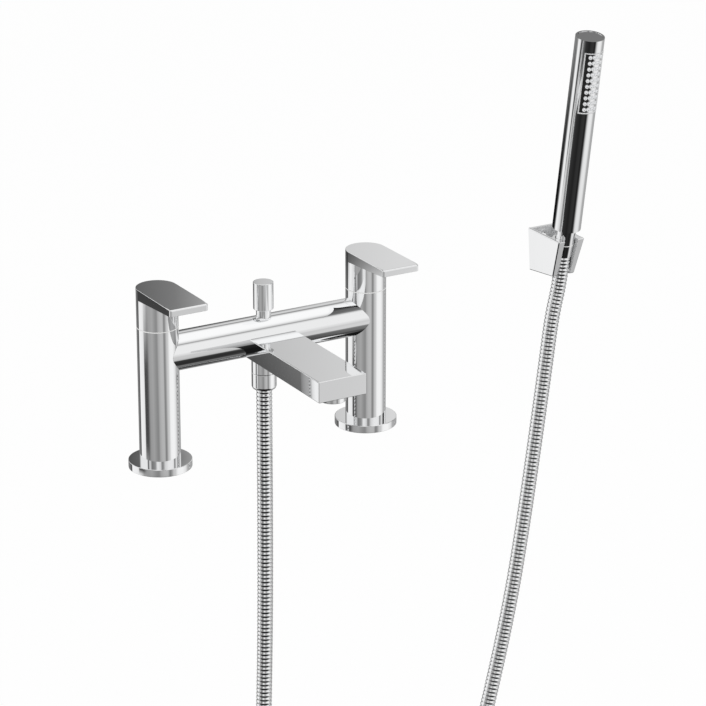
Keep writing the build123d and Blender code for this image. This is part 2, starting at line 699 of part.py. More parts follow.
# Hose: it leaves the mixer straight down, hangs in a loop and comes up into the handset's nut
hose_end = Vector(*handset_foot) + handset_way * nut_bottom
hose_way_in = handset_way * hose_tail
route = [
    Vector(0, 0, hose_nut_bottom),
    *[Vector(*point) for point in hose_loop],
    hose_end - hose_way_in,
    hose_end,
]
runs = [after - before for before, after in zip(route, route[1:])]
bends = []
for before, after in zip(runs, runs[1:]):
    half_turn = radians(before.get_angle(after)) / 2
    bends.append(bend_share * min(before.length, after.length) / tan(half_turn))
print("hose bend radii:", [round(radius) for radius in bends])

with BuildLine() as hose_line:
    FilletPolyline(*route, radius=bends)
hose_wire = hose_line.wires()[0]
hose_length = hose_wire.length
print("hose length:", round(hose_length, 1))


def hose_circle(along, radius):
    """A circle square to the hose's line, its X axis kept steady along the way."""
    at = hose_wire.position_at(along, position_mode=PositionMode.LENGTH)
    tangent = hose_wire.tangent_at(along, position_mode=PositionMode.LENGTH)
    across = Vector(0, 1, 0)
    steady = (across - tangent * across.dot(tangent)).normalized()
    return Wire.make_circle(radius, Plane(origin=at, x_dir=steady, z_dir=tangent))


# The hose's wound armour: even ribs between two plain ends, each rib a groove, a rise and a crest
crest_radius = hose_diameter / 2
groove_radius = crest_radius - hose_groove
rib_pitch = (hose_length - 2 * hose_diameter) / hose_ribs
sections = [hose_circle(0, groove_radius)]
for rib in range(hose_ribs):
    start = hose_diameter + rib * rib_pitch
    for share, radius in zip(rib_shares, (groove_radius, crest_radius, crest_radius, groove_radius)):
        sections.append(hose_circle(start + share * rib_pitch, radius))
sections.append(hose_circle(hose_length, groove_radius))
with BuildPart() as hose:
    add(Solid.make_loft(sections, ruled=True))
    with BuildSketch(Plane(origin=route[0], x_dir=(0, 1, 0), z_dir=runs[0])):
        Circle(hose_bore / 2)
    sweep(path=hose_wire, mode=Mode.SUBTRACT)
hose.part.label = "hose"
export_step(hose.part, "parts/hose.step")
print("hose volume over a plain tube's:",
      round(hose.part.volume / (pi * (crest_radius**2 - (hose_bore / 2) ** 2) * hose_length), 3))

# Handset: a straight tube that leans out from the wall, with a window for the spray panel
with BuildPart() as handset_shell:
    extrude(disc(handset_plane, handset_radius, shell_bore_radius), amount=handset_length)
    panel_plane = handset_plane.offset(panel_start)
    window_outer = handset_radius + overrun
    window_inner = shell_bore_radius - overrun
    window_face = ring_sector(panel_plane, window_outer, window_inner, panel_half_angle)
    extrude(window_face, amount=panel_height, mode=Mode.SUBTRACT)
handset_shell.part.label = "handset_shell"
export_step(handset_shell.part, "parts/handset_shell.step")

with BuildPart() as handset_cap:
    cap_plane = handset_plane.offset(handset_length - cap_recess)
    extrude(disc(cap_plane, shell_bore_radius - fixed_gap), amount=-cap_thickness)
    skirt_face = disc(cap_plane, shell_bore_radius - fixed_gap, shell_bore_radius - fixed_gap - cap_rim)
    extrude(skirt_face, amount=-cap_skirt_height)
handset_cap.part.label = "handset_cap"
export_step(handset_cap.part, "parts/handset_cap.step")

# Spray panel: a curved plate in the window, with columns of nozzle tips that stand a little proud
plate_outer = handset_radius - panel_recess
plate_inner = plate_outer - panel_thickness
gap_angle = degrees(fixed_gap / handset_radius)
nozzle_start = (panel_height - (nozzle_rows - 1) * nozzle_row_spacing) / 2
nozzle_heights = [nozzle_start + row * nozzle_row_spacing for row in range(nozzle_rows)]


def nozzle_column(angle, radius, size):
    """Six-sided outlines for one column of nozzles, on a plane across the column's own radius."""
    turned = handset_plane.rotated((0, 0, angle))
    outward = Vector(0, 0, 0) - turned.y_dir
    column_plane = Plane(origin=panel_plane.origin + outward * radius, x_dir=handset_way, z_dir=outward)
    with BuildSketch(column_plane, mode=Mode.PRIVATE) as drawn:
        with Locations([(height, 0) for height in nozzle_heights]):
            RegularPolygon(size, nozzle_sides)
    return drawn.sketch


plate_plane = panel_plane.offset(fixed_gap)
with BuildPart() as spray_plate:
    plate_face = ring_sector(plate_plane, plate_outer, plate_inner, panel_half_angle - gap_angle)
    extrude(plate_face, amount=panel_height - 2 * fixed_gap)
    for angle in nozzle_angles:
        tips = nozzle_column(angle, plate_inner - nozzle_root, nozzle_diameter / 2)
        extrude(tips, amount=handset_radius + nozzle_stand - plate_inner + nozzle_root)
spray_plate.part.label = "spray_plate"
export_step(spray_plate.part, "parts/spray_plate.step")

# Handset inlet: a plug in the tube's foot, a tapered neck and a threaded spigot, bored through
with BuildPart() as handset_inlet:
    inlet_outline = (
        (neck_bore / 2, neck_plug_height),
        (shell_bore_radius - fixed_gap, neck_plug_height),
        (shell_bore_radius - fixed_gap, 0),
        (neck_top_diameter / 2, 0),
        (neck_foot_diameter / 2, -neck_length),
        (neck_spigot_diameter / 2, -neck_length),
        (neck_spigot_diameter / 2, spigot_bottom),
        (neck_bore / 2, spigot_bottom),
    )
    revolve(outline(handset_profile, inlet_outline), axis=handset_axis)
handset_inlet.part.label = "handset_inlet"
export_step(handset_inlet.part, "parts/handset_inlet.step")

with BuildPart() as flow_filter:
    filter_plane = handset_plane.offset(neck_plug_height - filter_depth)
    extrude(disc(filter_plane, neck_bore / 2 - fixed_gap), amount=filter_thickness)
    with BuildSketch(filter_plane):
        with PolarLocations(filter_hole_offset, 4):
            Circle(filter_hole_diameter / 2)
    extrude(amount=filter_thickness, mode=Mode.SUBTRACT)
flow_filter.part.label = "flow_filter"
export_step(flow_filter.part, "parts/flow_filter.step")

# Swivel nut on the hose's upper end, with a pale slip ring above it and a washer inside
swivel_bore = neck_spigot_diameter / 2 + running_gap
with BuildPart() as handset_ring:
    slip_face = disc(handset_plane.offset(nut_top), neck_foot_diameter / 2, swivel_bore)
    extrude(slip_face, amount=handset_ring_thickness - running_gap)
handset_ring.part.label = "handset_ring"
export_step(handset_ring.part, "parts/handset_ring.step")

with BuildPart() as handset_nut:
    handset_nut_outline = (
        (swivel_bore, nut_top),
        (neck_foot_diameter / 2, nut_top),
        (handset_nut_foot_diameter / 2, nut_bottom),
        (hose_bore / 2, nut_bottom),
        (hose_bore / 2, nut_bottom + handset_nut_floor),
        (swivel_bore, nut_bottom + handset_nut_floor),
    )
    revolve(outline(handset_profile, handset_nut_outline), axis=handset_axis)
handset_nut.part.label = "handset_nut"
export_step(handset_nut.part, "parts/handset_nut.step")

with BuildPart() as handset_washer:
    washer_base = handset_plane.offset(nut_bottom + handset_nut_floor)
    extrude(disc(washer_base, swivel_bore - fixed_gap, neck_bore / 2), amount=handset_washer_thickness)
handset_washer.part.label = "handset_washer"
export_step(handset_washer.part, "parts/handset_washer.step")

# Wall bracket: a tapered block with a conical cup for the neck, a slot in front for the hose to
# pass through, and an open pocket behind the cup that leaves room to drive the two screws
bracket_x, seat_y, seat_z = handset_foot
bracket_foot = bracket_top - bracket_back_height
bracket_middle = bracket_top - bracket_back_height / 2
side_slope = (bracket_top_width - bracket_foot_width) / 2 / bracket_back_height
cup_top_radius = neck_top_diameter / 2 + seat_gap
cup_foot_radius = handset_nut_foot_diameter / 2 + seat_gap
cup_outer_radius = cup_top_radius + bracket_cup_wall
cup_reach = nut_bottom - bracket_back_height
bracket_profile = Plane(origin=(bracket_x, 0, 0), x_dir=(0, 1, 0), z_dir=(1, 0, 0))
bracket_front = Plane(origin=(bracket_x, 0, bracket_top), x_dir=(1, 0, 0), z_dir=(0, -1, 0))
wall_plane = Plane(origin=(bracket_x, wall_y, bracket_middle), x_dir=(-1, 0, 0), z_dir=(0, 1, 0))


def bracket_level(height, inset):
    """Half the bracket's width at a height, less an inset."""
    return bracket_top_width / 2 - side_slope * (bracket_top - height) - inset


def axis_y(height):
    """Where the handset's axis stands at a height."""
    return seat_y - (height - seat_z) * tan(lean)


with BuildPart() as bracket_pocket:
    for height in (bracket_top + overrun, bracket_foot - overrun):
        half_width = bracket_level(height, bracket_wall)
        pocket_front = axis_y(height) + cup_outer_radius / 2
        with BuildSketch(Plane.XY.offset(height)):
            with Locations((bracket_x, wall_y - bracket_back_wall)):
                pocket_depth = wall_y - bracket_back_wall - pocket_front
                Rectangle(2 * half_width, pocket_depth, align=(Align.CENTER, Align.MAX))
    loft(ruled=True)
    cup_outline = (
        (0, 0),
        (cup_outer_radius, 0),
        (cup_outer_radius, cup_reach),
        (0, cup_reach),
    )
    revolve(outline(handset_profile, cup_outline), axis=handset_axis, mode=Mode.SUBTRACT)

with BuildPart() as bracket:
    side_outline = (
        (wall_y, bracket_foot),
        (wall_y, bracket_top),
        (wall_y - bracket_depth_top, bracket_top),
        (wall_y - bracket_depth_foot, bracket_top - bracket_front_height),
    )
    extrude(outline(bracket_profile, side_outline), amount=bracket_top_width / 2, both=True)
    for way in (-1, 1):
        cheek_outline = (
            (way * bracket_level(bracket_top, 0), 0),
            (way * bracket_level(bracket_top, -overrun), 0),
            (way * bracket_level(bracket_top, -overrun), -bracket_back_height - overrun),
            (way * bracket_level(bracket_foot - overrun, 0), -bracket_back_height - overrun),
        )
        extrude(outline(bracket_front, cheek_outline), amount=2 * wall_y, both=True, mode=Mode.SUBTRACT)
    outer_edges = bracket.edges().filter_by(lambda edge: edge.center().Y < wall_y - bracket_edge)
    fillet(outer_edges, radius=bracket_edge)
    add(bracket_pocket.part, mode=Mode.SUBTRACT)
    bore_outline = (
        (0, 0),
        (cup_top_radius, 0),
        (neck_foot_diameter / 2 + seat_gap, ring_top),
        (cup_foot_radius, nut_bottom),
        (cup_foot_radius, cup_reach),
        (0, cup_reach),
    )
    revolve(outline(handset_profile, bore_outline), axis=handset_axis, mode=Mode.SUBTRACT)
    slot_outline = (
        (axis_y(bracket_top + overrun), bracket_top + overrun),
        (axis_y(bracket_foot - overrun), bracket_foot - overrun),
        (0, bracket_foot - overrun),
        (0, bracket_top + overrun),
    )
    slot_face = outline(bracket_profile, slot_outline)
    extrude(slot_face, amount=bracket_slot_width / 2, both=True, mode=Mode.SUBTRACT)
    for way in (-1, 1):
        screw_point = wall_plane.from_local_coords((0, way * bracket_screw_spacing / 2, 0))
        screw_place = Plane(origin=screw_point, x_dir=(1, 0, 0), z_dir=(0, -1, 0))
        extrude(disc(screw_place, bracket_boss_diameter / 2), amount=bracket_back_wall + bracket_boss_height)
        screw_hole = disc(screw_place, bracket_screw_diameter / 2)
        extrude(screw_hole, amount=2 * bracket_back_wall, mode=Mode.SUBTRACT)
bracket.part.label = "bracket"
export_step(bracket.part, "parts/bracket.step")
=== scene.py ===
"""Bath shower mixer: the visible pieces, their finishes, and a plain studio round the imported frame."""

import json
import logging
import math
from collections.abc import Iterable, Sequence
from dataclasses import dataclass
from enum import Enum

import bmesh
import bpy
from mathutils import Matrix, Vector


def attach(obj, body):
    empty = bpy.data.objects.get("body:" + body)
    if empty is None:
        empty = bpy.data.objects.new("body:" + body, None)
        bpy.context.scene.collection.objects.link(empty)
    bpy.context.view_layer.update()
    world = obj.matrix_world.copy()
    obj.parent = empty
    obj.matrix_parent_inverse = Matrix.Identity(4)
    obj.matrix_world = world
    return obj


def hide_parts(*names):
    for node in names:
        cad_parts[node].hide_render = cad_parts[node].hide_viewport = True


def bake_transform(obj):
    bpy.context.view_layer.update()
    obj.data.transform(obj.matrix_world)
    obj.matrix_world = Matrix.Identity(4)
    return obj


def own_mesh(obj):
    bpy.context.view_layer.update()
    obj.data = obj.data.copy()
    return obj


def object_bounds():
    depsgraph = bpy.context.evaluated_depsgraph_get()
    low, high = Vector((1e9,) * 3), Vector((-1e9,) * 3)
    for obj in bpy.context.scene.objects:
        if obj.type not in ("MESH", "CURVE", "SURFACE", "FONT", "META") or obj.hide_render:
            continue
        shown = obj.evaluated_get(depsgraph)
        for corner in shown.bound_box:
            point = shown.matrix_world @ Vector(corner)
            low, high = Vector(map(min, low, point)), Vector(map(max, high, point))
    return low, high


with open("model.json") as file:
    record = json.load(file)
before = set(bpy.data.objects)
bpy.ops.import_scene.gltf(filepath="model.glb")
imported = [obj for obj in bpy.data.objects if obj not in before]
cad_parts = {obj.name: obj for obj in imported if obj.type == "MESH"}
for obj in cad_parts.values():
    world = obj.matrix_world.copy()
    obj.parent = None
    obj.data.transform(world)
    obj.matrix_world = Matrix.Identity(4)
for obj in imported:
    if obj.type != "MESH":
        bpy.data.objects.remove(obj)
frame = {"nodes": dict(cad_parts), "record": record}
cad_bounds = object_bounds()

log = logging.getLogger("mixer")

MM = 0.001
BORE_STEPS = 400
SMALL_SIDES = 96
NODES: dict[str, bpy.types.Object] = frame["nodes"]

Point = tuple[float, float, float]
Profile = Sequence[tuple[float, float]]


class Body(Enum):
    """The rigid bodies that pieces ride on."""

    MIXER = "mixer"
    HOT_LEVER = "hot_lever"
    COLD_LEVER = "cold_lever"
    DIVERTER = "diverter"
    HOSE_END = "hose_end"
    HANDSET = "handset"


class Side(Enum):
    """The two columns, and which way each stands from the middle."""

    HOT = -1
    COLD = 1

    @property
    def word(self) -> str:
        """The side's name, as the node names spell it."""
        return self.name.lower()

    @property
    def lever_body(self) -> Body:
        """The body that this side's lever rides on."""
        return Body[f"{self.name}_LEVER"]


class Slot(Enum):
    """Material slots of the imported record."""

    CHROME = "chrome"
    BRASS = "brass"
    RUBBER = "rubber"
    CERAMIC = "ceramic"
    PALE_RING = "pale_ring"
    VALVE_PLASTIC = "valve_plastic"
    STEEL = "steel"


class Shader:
    """A material's node tree, with short calls for the nodes that the finishes share."""

    noise_low = 0.3
    noise_high = 0.7

    def __init__(self, name: str) -> None:
        """Starts an empty material.

        Args:
            name: The material's name.
        """
        self.material = bpy.data.materials.new(name)
        self.material.use_nodes = True
        self.tree = self.material.node_tree
        self.surface = self.tree.nodes["Principled BSDF"]
        self.place = self.tree.nodes.new("ShaderNodeTexCoord").outputs["Object"]

    def set(self, **values: float | tuple[float, ...]) -> None:
        """Sets plain values on the surface shader.

        Args:
            **values: Socket names, with underscores for spaces, and their values.
        """
        for name, value in values.items():
            self.surface.inputs[name.replace("_", " ")].default_value = value

    def noise(self, scale: float, detail: float, stretch: Point = (1, 1, 1)) -> bpy.types.NodeSocket:
        """A noise over the piece's own coordinates.

        Args:
            scale: Cycles of noise a metre.
            detail: Layers of finer noise.
            stretch: How much closer the noise lies along each axis.

        Returns:
            The noise's value.
        """
        mapping = self.tree.nodes.new("ShaderNodeMapping")
        mapping.inputs["Scale"].default_value = stretch
        noise = self.tree.nodes.new("ShaderNodeTexNoise")
        noise.inputs["Scale"].default_value = scale
        noise.inputs["Detail"].default_value = detail
        self.tree.links.new(self.place, mapping.inputs["Vector"])
        self.tree.links.new(mapping.outputs["Vector"], noise.inputs["Vector"])
        return noise.outputs["Fac"]

    def span(self, value: bpy.types.NodeSocket, low: float, high: float) -> bpy.types.NodeSocket:
        """Maps a noise's middle range to a range of another value.

        Args:
            value: The noise.
            low: The result where the noise is low.
            high: The result where the noise is high.

        Returns:
            The mapped value.
        """
        mapped = self.tree.nodes.new("ShaderNodeMapRange")
        mapped.inputs["From Min"].default_value = self.noise_low
        mapped.inputs["From Max"].default_value = self.noise_high
        mapped.inputs["To Min"].default_value = low
        mapped.inputs["To Max"].default_value = high
        self.tree.links.new(value, mapped.inputs["Value"])
        return mapped.outputs["Result"]

    def blend(self, value: bpy.types.NodeSocket, first: Point, second: Point) -> bpy.types.NodeSocket:
        """A colour that goes from one to another with a value.

        Args:
            value: The share of the second colour.
            first: The first colour.
            second: The second colour.

        Returns:
            The mixed colour.
        """
        mix = self.tree.nodes.new("ShaderNodeMix")
        mix.data_type = "RGBA"
        mix.inputs["A"].default_value = (*first, 1)
        mix.inputs["B"].default_value = (*second, 1)
        self.tree.links.new(value, mix.inputs["Factor"])
        return mix.outputs["Result"]

    def drive(self, name: str, value: bpy.types.NodeSocket) -> None:
        """Links a value to one of the surface shader's sockets.

        Args:
            name: The socket's name.
            value: What drives it.
        """
        self.tree.links.new(value, self.surface.inputs[name])

    def bump(self, height: bpy.types.NodeSocket, depth: float, strength: float = 1.0) -> None:
        """Gives the surface a fine relief.

        Args:
            height: The relief's height from 0 to 1.
            depth: The relief's depth in metres.
            strength: How much of it shows.
        """
        bump = self.tree.nodes.new("ShaderNodeBump")
        bump.inputs["Distance"].default_value = depth
        bump.inputs["Strength"].default_value = strength
        self.tree.links.new(height, bump.inputs["Height"])
        self.tree.links.new(bump.outputs["Normal"], self.surface.inputs["Normal"])


@dataclass(frozen=True)
class Chrome:
    """Polished chrome plate: a faint waviness from polishing and a light film of wiping marks."""

    name: str = "polished_chrome"
    color: Point = (0.965, 0.968, 0.972)
    film: Point = (0.935, 0.94, 0.946)
    roughness: float = 0.015
    haze: float = 0.045
    mark_scale: float = 60.0
    mark_stretch: Point = (1, 1, 0.35)
    film_scale: float = 22.0
    wave_scale: float = 90.0
    wave_depth: float = 0.000003

    def material(self) -> bpy.types.Material:
        """Builds the finish.

        Returns:
            The material.
        """
        shader = Shader(self.name)
        shader.set(Metallic=1.0)
        marks = shader.noise(self.mark_scale, 5.0, self.mark_stretch)
        shader.drive("Roughness", shader.span(marks, self.roughness, self.haze))
        shader.drive("Base Color", shader.blend(shader.noise(self.film_scale, 3.0), self.color, self.film))
        shader.bump(shader.noise(self.wave_scale, 1.0), self.wave_depth)
        return shader.material


@dataclass(frozen=True)
class Moulded:
    """A moulded plastic or rubber: a colour that drifts a little, over a fine grain."""

    name: str
    color: Point
    drift: Point
    roughness: float
    roughness_spread: float = 0.12
    drift_scale: float = 35.0
    polish_scale: float = 240.0
    grain_scale: float = 1400.0
    grain_depth: float = 0.00002
    grain_strength: float = 0.6

    def material(self) -> bpy.types.Material:
        """Builds the finish.

        Returns:
            The material.
        """
        shader = Shader(self.name)
        polish = shader.noise(self.polish_scale, 3.0)
        shader.drive("Base Color", shader.blend(shader.noise(self.drift_scale, 4.0), self.color, self.drift))
        shader.drive("Roughness", shader.span(polish, self.roughness, self.roughness + self.roughness_spread))
        shader.bump(shader.noise(self.grain_scale, 2.0), self.grain_depth, self.grain_strength)
        return shader.material


@dataclass(frozen=True)
class Cast:
    """Plated but unpolished casting, as inside the bracket: pale, satin and slightly grainy."""

    name: str = "satin_casting"
    color: Point = (0.88, 0.885, 0.89)
    shade: Point = (0.78, 0.785, 0.79)
    metallic: float = 0.45
    roughness: float = 0.38
    roughness_spread: float = 0.15
    shade_scale: float = 120.0
    satin_scale: float = 500.0
    grain_scale: float = 1600.0
    grain_depth: float = 0.00001
    grain_strength: float = 0.4

    def material(self) -> bpy.types.Material:
        """Builds the finish.

        Returns:
            The material.
        """
        shader = Shader(self.name)
        shader.set(Metallic=self.metallic)
        satin = shader.noise(self.satin_scale, 3.0)
        shader.drive("Base Color", shader.blend(shader.noise(self.shade_scale, 4.0), self.color, self.shade))
        shader.drive("Roughness", shader.span(satin, self.roughness, self.roughness + self.roughness_spread))
        shader.bump(shader.noise(self.grain_scale, 3.0), self.grain_depth, self.grain_strength)
        return shader.material


@dataclass(frozen=True)
class Turned:
    """A bare machined metal, with fine turning marks round its axis."""

    name: str
    color: Point
    drift: Point
    roughness: float
    roughness_spread: float = 0.15
    drift_scale: float = 30.0
    mark_scale: float = 900.0
    mark_stretch: Point = (0.04, 0.04, 1)
    mark_depth: float = 0.00001
    mark_strength: float = 0.5

    def material(self) -> bpy.types.Material:
        """Builds the finish.

        Returns:
            The material.
        """
        shader = Shader(self.name)
        shader.set(Metallic=1.0, Anisotropic=0.4)
        marks = shader.noise(self.mark_scale, 2.0, self.mark_stretch)
        shader.drive("Base Color", shader.blend(shader.noise(self.drift_scale, 3.0), self.color, self.drift))
        shader.drive("Roughness", shader.span(marks, self.roughness, self.roughness + self.roughness_spread))
        shader.bump(marks, self.mark_depth, self.mark_strength)
        return shader.material


CHROME = Chrome().material()
HOSE_CHROME = Chrome(name="hose_chrome", roughness=0.03, haze=0.09).material()
BRASS = Turned("machined_brass", (0.78, 0.6, 0.28), (0.7, 0.52, 0.23), 0.22).material()
STEEL = Turned("drawn_steel", (0.6, 0.61, 0.62), (0.52, 0.53, 0.55), 0.2).material()
RUBBER = Moulded("black_rubber", (0.03, 0.03, 0.03), (0.05, 0.05, 0.05), 0.55).material()
NOZZLE = Moulded("nozzle_silicone", (0.86, 0.87, 0.88), (0.78, 0.79, 0.8), 0.3).material()
# Dark finish for the discs over the nozzle holes: painted shade that stands for the dark inside of each hole.
NOZZLE_HOLE_SHADE = Moulded("nozzle_hole_painted_shade", (0.1, 0.1, 0.1), (0.06, 0.06, 0.06), 0.6).material()
CASTING = Cast().material()
CERAMIC = Moulded("lapped_ceramic", (0.93, 0.92, 0.89), (0.88, 0.87, 0.84), 0.12).material()
PALE_RING = Moulded("slip_ring", (0.93, 0.93, 0.92), (0.87, 0.87, 0.86), 0.3).material()
VALVE_PLASTIC = Moulded("valve_plastic", (0.8, 0.8, 0.78), (0.74, 0.74, 0.72), 0.4).material()

SLOT_FINISH = {
    Slot.CHROME: CHROME,
    Slot.BRASS: BRASS,
    Slot.STEEL: STEEL,
    Slot.RUBBER: RUBBER,
    Slot.CERAMIC: CERAMIC,
    Slot.PALE_RING: PALE_RING,
    Slot.VALVE_PLASTIC: VALVE_PLASTIC,
}


def stand(name: str, data: bpy.types.ID) -> bpy.types.Object:
    """Puts a new object into the scene.

    Args:
        name: The object's name.
        data: What it shows, such as a mesh or a lamp.

    Returns:
        The object.
    """
    thing = bpy.data.objects.new(name, data)
    bpy.context.scene.collection.objects.link(thing)
    return thing


def worked_mesh(thing: bpy.types.Object) -> bpy.types.Mesh:
    """Works out an object's curve or modifiers.

    Args:
        thing: The object.

    Returns:
        A new mesh of the result.
    """
    bpy.context.view_layer.update()
    ready = thing.evaluated_get(bpy.context.evaluated_depsgraph_get())
    return bpy.data.meshes.new_from_object(ready)


def linear(tone: float) -> float:
    """The amount of light behind a tone as the eye sees it."""
    return ((tone + 0.055) / 1.055) ** 2.4 if tone > 0.04 else tone / 12.92


@dataclass(frozen=True)
class Ramp:
    """Tones that follow an angle in degrees through a few stops.

    The tones are as the eye sees them, unless they are plain shares. The reach is the largest angle
    either way: 180 round the studio, 90 up and down.
    """

    stops: Profile
    reach: float = 180.0
    share: bool = False


class Surroundings:
    """What the chrome mirrors: white walls, a dark ground, and a few darker gaps between panels.

    Azimuths turn from the row's back (0) by its right (90) to its front (180), and elevations rise from
    straight down (-90) to straight up (90).
    """

    # The walls all round, as they stand between the ground and eye height.
    walls = Ramp((
        (-180, 0.74), (-168, 0.74), (-156, 0.68), (-148, 0.55), (-140, 0.57), (-122, 0.66), (-108, 0.63),
        (-92, 0.66), (-78, 0.86), (-60, 0.94), (-33, 0.97), (-31, 0.96), (-30.5, 0.82), (-30, 0.66),
        (-29.4, 0.38), (-28.4, 0.34), (-27, 0.26), (-24, 0.28), (-20, 0.42), (0, 0.5), (60, 0.66),
        (90, 0.68), (104, 0.9), (120, 0.97), (140, 0.96), (146, 0.9), (150, 0.81), (158, 0.78), (165, 0.62),
        (172, 0.5), (180, 0.74)))
    # A low gap on the left, and the narrow band of heights that it lies in.
    low_gap = Ramp((
        (-180, 1.0), (-106, 1.0), (-99, 0.84), (-92, 0.5), (-86, 0.38), (-78, 0.32), (-71, 0.34),
        (-67.5, 1.0), (180, 1.0)))
    low_gap_band = Ramp((
        (-90, 0.0), (-22.3, 0.0), (-21.8, 1.0), (-20.0, 1.0), (-19.5, 0.0), (90, 0.0)), 90.0, share=True)
    # The ground in front of the row, and the ground at its sides.
    front_ground = Ramp((
        (-90, 0.14), (-60, 0.17), (-48, 0.19), (-38, 0.26), (-31, 0.28), (-27, 0.3), (-24.6, 0.5),
        (-22.7, 0.95), (-20, 1.0), (90, 1.0)), 90.0)
    side_ground = Ramp((
        (-90, 0.14), (-70, 0.3), (-64, 0.55), (-61, 0.4), (-59, 0.26), (-55, 0.5), (-50, 0.84), (-36, 0.9),
        (-24, 1.0), (90, 1.0)), 90.0)
    # Where the front ground gives way to the side ground on the right and left. The right line leans with
    # the elevation, and both step aside in the upper part of the ground.
    upper_ground = Ramp(((-90, 0.0), (-38, 0.0), (-35.5, 0.7), (-34, 1.0), (90, 1.0)), 90.0, share=True)
    right_side = Ramp(((-180, 1.0), (139, 1.0), (153, 0.0), (180, 0.0)), share=True)
    left_side = Ramp((
        (-180, 0.0), (-114, 0.0), (-104, 0.1), (-97, 0.25), (-90, 0.6), (-84, 1.0), (180, 1.0)), share=True)
    right_lean = 33.0
    right_step = 10.0
    left_step = 27.0
    # The ceiling, with one gap between its panels.
    ceiling = Ramp((
        (-90, 0.93), (0, 0.94), (34, 0.94), (39, 0.86), (43, 0.58), (47, 0.84), (54, 0.98), (60, 1.0),
        (90, 1.0)), 90.0)
    # The dark end of the room behind the row, the gaps between the panels on its other sides, and the
    # heights that they all fade out at.
    rear = Ramp((
        (-180, 1.0), (-20, 1.0), (-4, 0.7), (14, 0.44), (25.6, 0.3), (26, 0.38), (26.4, 0.47), (26.9, 0.54),
        (27.4, 0.62), (28.2, 0.82), (29.6, 0.86), (30.6, 0.91), (32, 0.91), (34, 0.84), (38, 0.48),
        (44, 0.6), (60, 1.0), (180, 1.0)))
    panel_gaps = Ramp((
        (-180, 0.9), (-170, 0.62), (-162, 0.56), (-155, 0.9), (-138, 1.0), (-126, 0.62), (-106, 0.5),
        (-96, 0.86), (-92, 0.94), (-86, 0.5), (-80, 0.44), (-76, 1.0), (70, 1.0), (75, 0.36), (92, 0.24),
        (98, 0.8), (110, 0.98), (116, 0.6), (122, 0.54), (128, 0.96), (138, 1.0), (160, 1.0), (180, 0.9)))
    wall_heights = Ramp((
        (-90, 1.0), (30, 1.0), (40, 0.6), (50, 0.15), (56, 0.0), (90, 0.0)), 90.0, share=True)
    # A dark doorway low in the back wall, and its band of heights.
    doorway = Ramp((
        (-180, 1.0), (-48, 1.0), (-42, 0.62), (-38, 0.45), (-26, 0.34), (-10, 0.16), (22, 0.2), (34, 1.0),
        (180, 1.0)))
    doorway_band = Ramp((
        (-90, 0.0), (-19.2, 0.0), (-18, 1.0), (-15.2, 1.0), (-13, 0.0), (90, 0.0)), 90.0, share=True)
    # Where the lower half of the studio gives way to the upper half.
    eye_height = Ramp(((-90, 0.0), (-17, 0.0), (-10, 0.45), (0, 1.0), (90, 1.0)), 90.0, share=True)

    def __init__(self, tree: bpy.types.NodeTree) -> None:
        """Reads the direction of a mirror ray.

        Args:
            tree: The world's node tree.
        """
        self.tree = tree
        way = tree.nodes.new("ShaderNodeTexCoord").outputs["Generated"]
        split = tree.nodes.new("ShaderNodeSeparateXYZ")
        tree.links.new(way, split.inputs["Vector"])
        rise = self.math("ARCSINE", split.outputs["Z"])
        turn = self.math("ARCTAN2", split.outputs["X"], split.outputs["Y"])
        self.elevation = self.math("MULTIPLY", rise, 180 / math.pi)
        self.azimuth = self.math("MULTIPLY", turn, 180 / math.pi)

    def tone(self) -> bpy.types.NodeSocket:
        """The whole studio's tone for a mirror ray.

        Returns:
            The tone.
        """
        halves = self.mix(self.lower_half(), self.upper_half(), self.rising(self.eye_height))
        doorway = self.product(halves, self.round_about(self.doorway))
        return self.mix(halves, doorway, self.rising(self.doorway_band))

    def lower_half(self) -> bpy.types.NodeSocket:
        """The ground, with the foot of the walls.

        Returns:
            The tone.
        """
        walls = self.round_about(self.walls)
        gap = self.product(walls, self.round_about(self.low_gap))
        walls = self.mix(walls, gap, self.rising(self.low_gap_band))
        upper = self.rising(self.upper_ground)
        right_step = self.math("MULTIPLY_ADD", upper, self.right_step, self.right_lean)
        right_line = self.math("ADD", self.elevation, right_step)
        left_step = self.math("MULTIPLY_ADD", upper, self.left_step, -self.left_step)
        right = self.ramp(self.math("SUBTRACT", self.azimuth, right_line), self.right_side)
        left = self.ramp(self.math("ADD", self.azimuth, left_step), self.left_side)
        front = self.product(walls, self.rising(self.front_ground))
        sides = self.product(walls, self.rising(self.side_ground))
        return self.mix(front, sides, self.math("MULTIPLY", right, left))

    def upper_half(self) -> bpy.types.NodeSocket:
        """The ceiling, and the walls above eye height.

        Returns:
            The tone.
        """
        ceiling = self.rising(self.ceiling)
        walls = self.product(self.round_about(self.rear), self.round_about(self.panel_gaps))
        return self.mix(ceiling, self.product(ceiling, walls), self.rising(self.wall_heights))

    def round_about(self, ramp: Ramp) -> bpy.types.NodeSocket:
        """A tone that follows the azimuth."""
        return self.ramp(self.azimuth, ramp)

    def rising(self, ramp: Ramp) -> bpy.types.NodeSocket:
        """A tone or a share that follows the elevation."""
        return self.ramp(self.elevation, ramp)

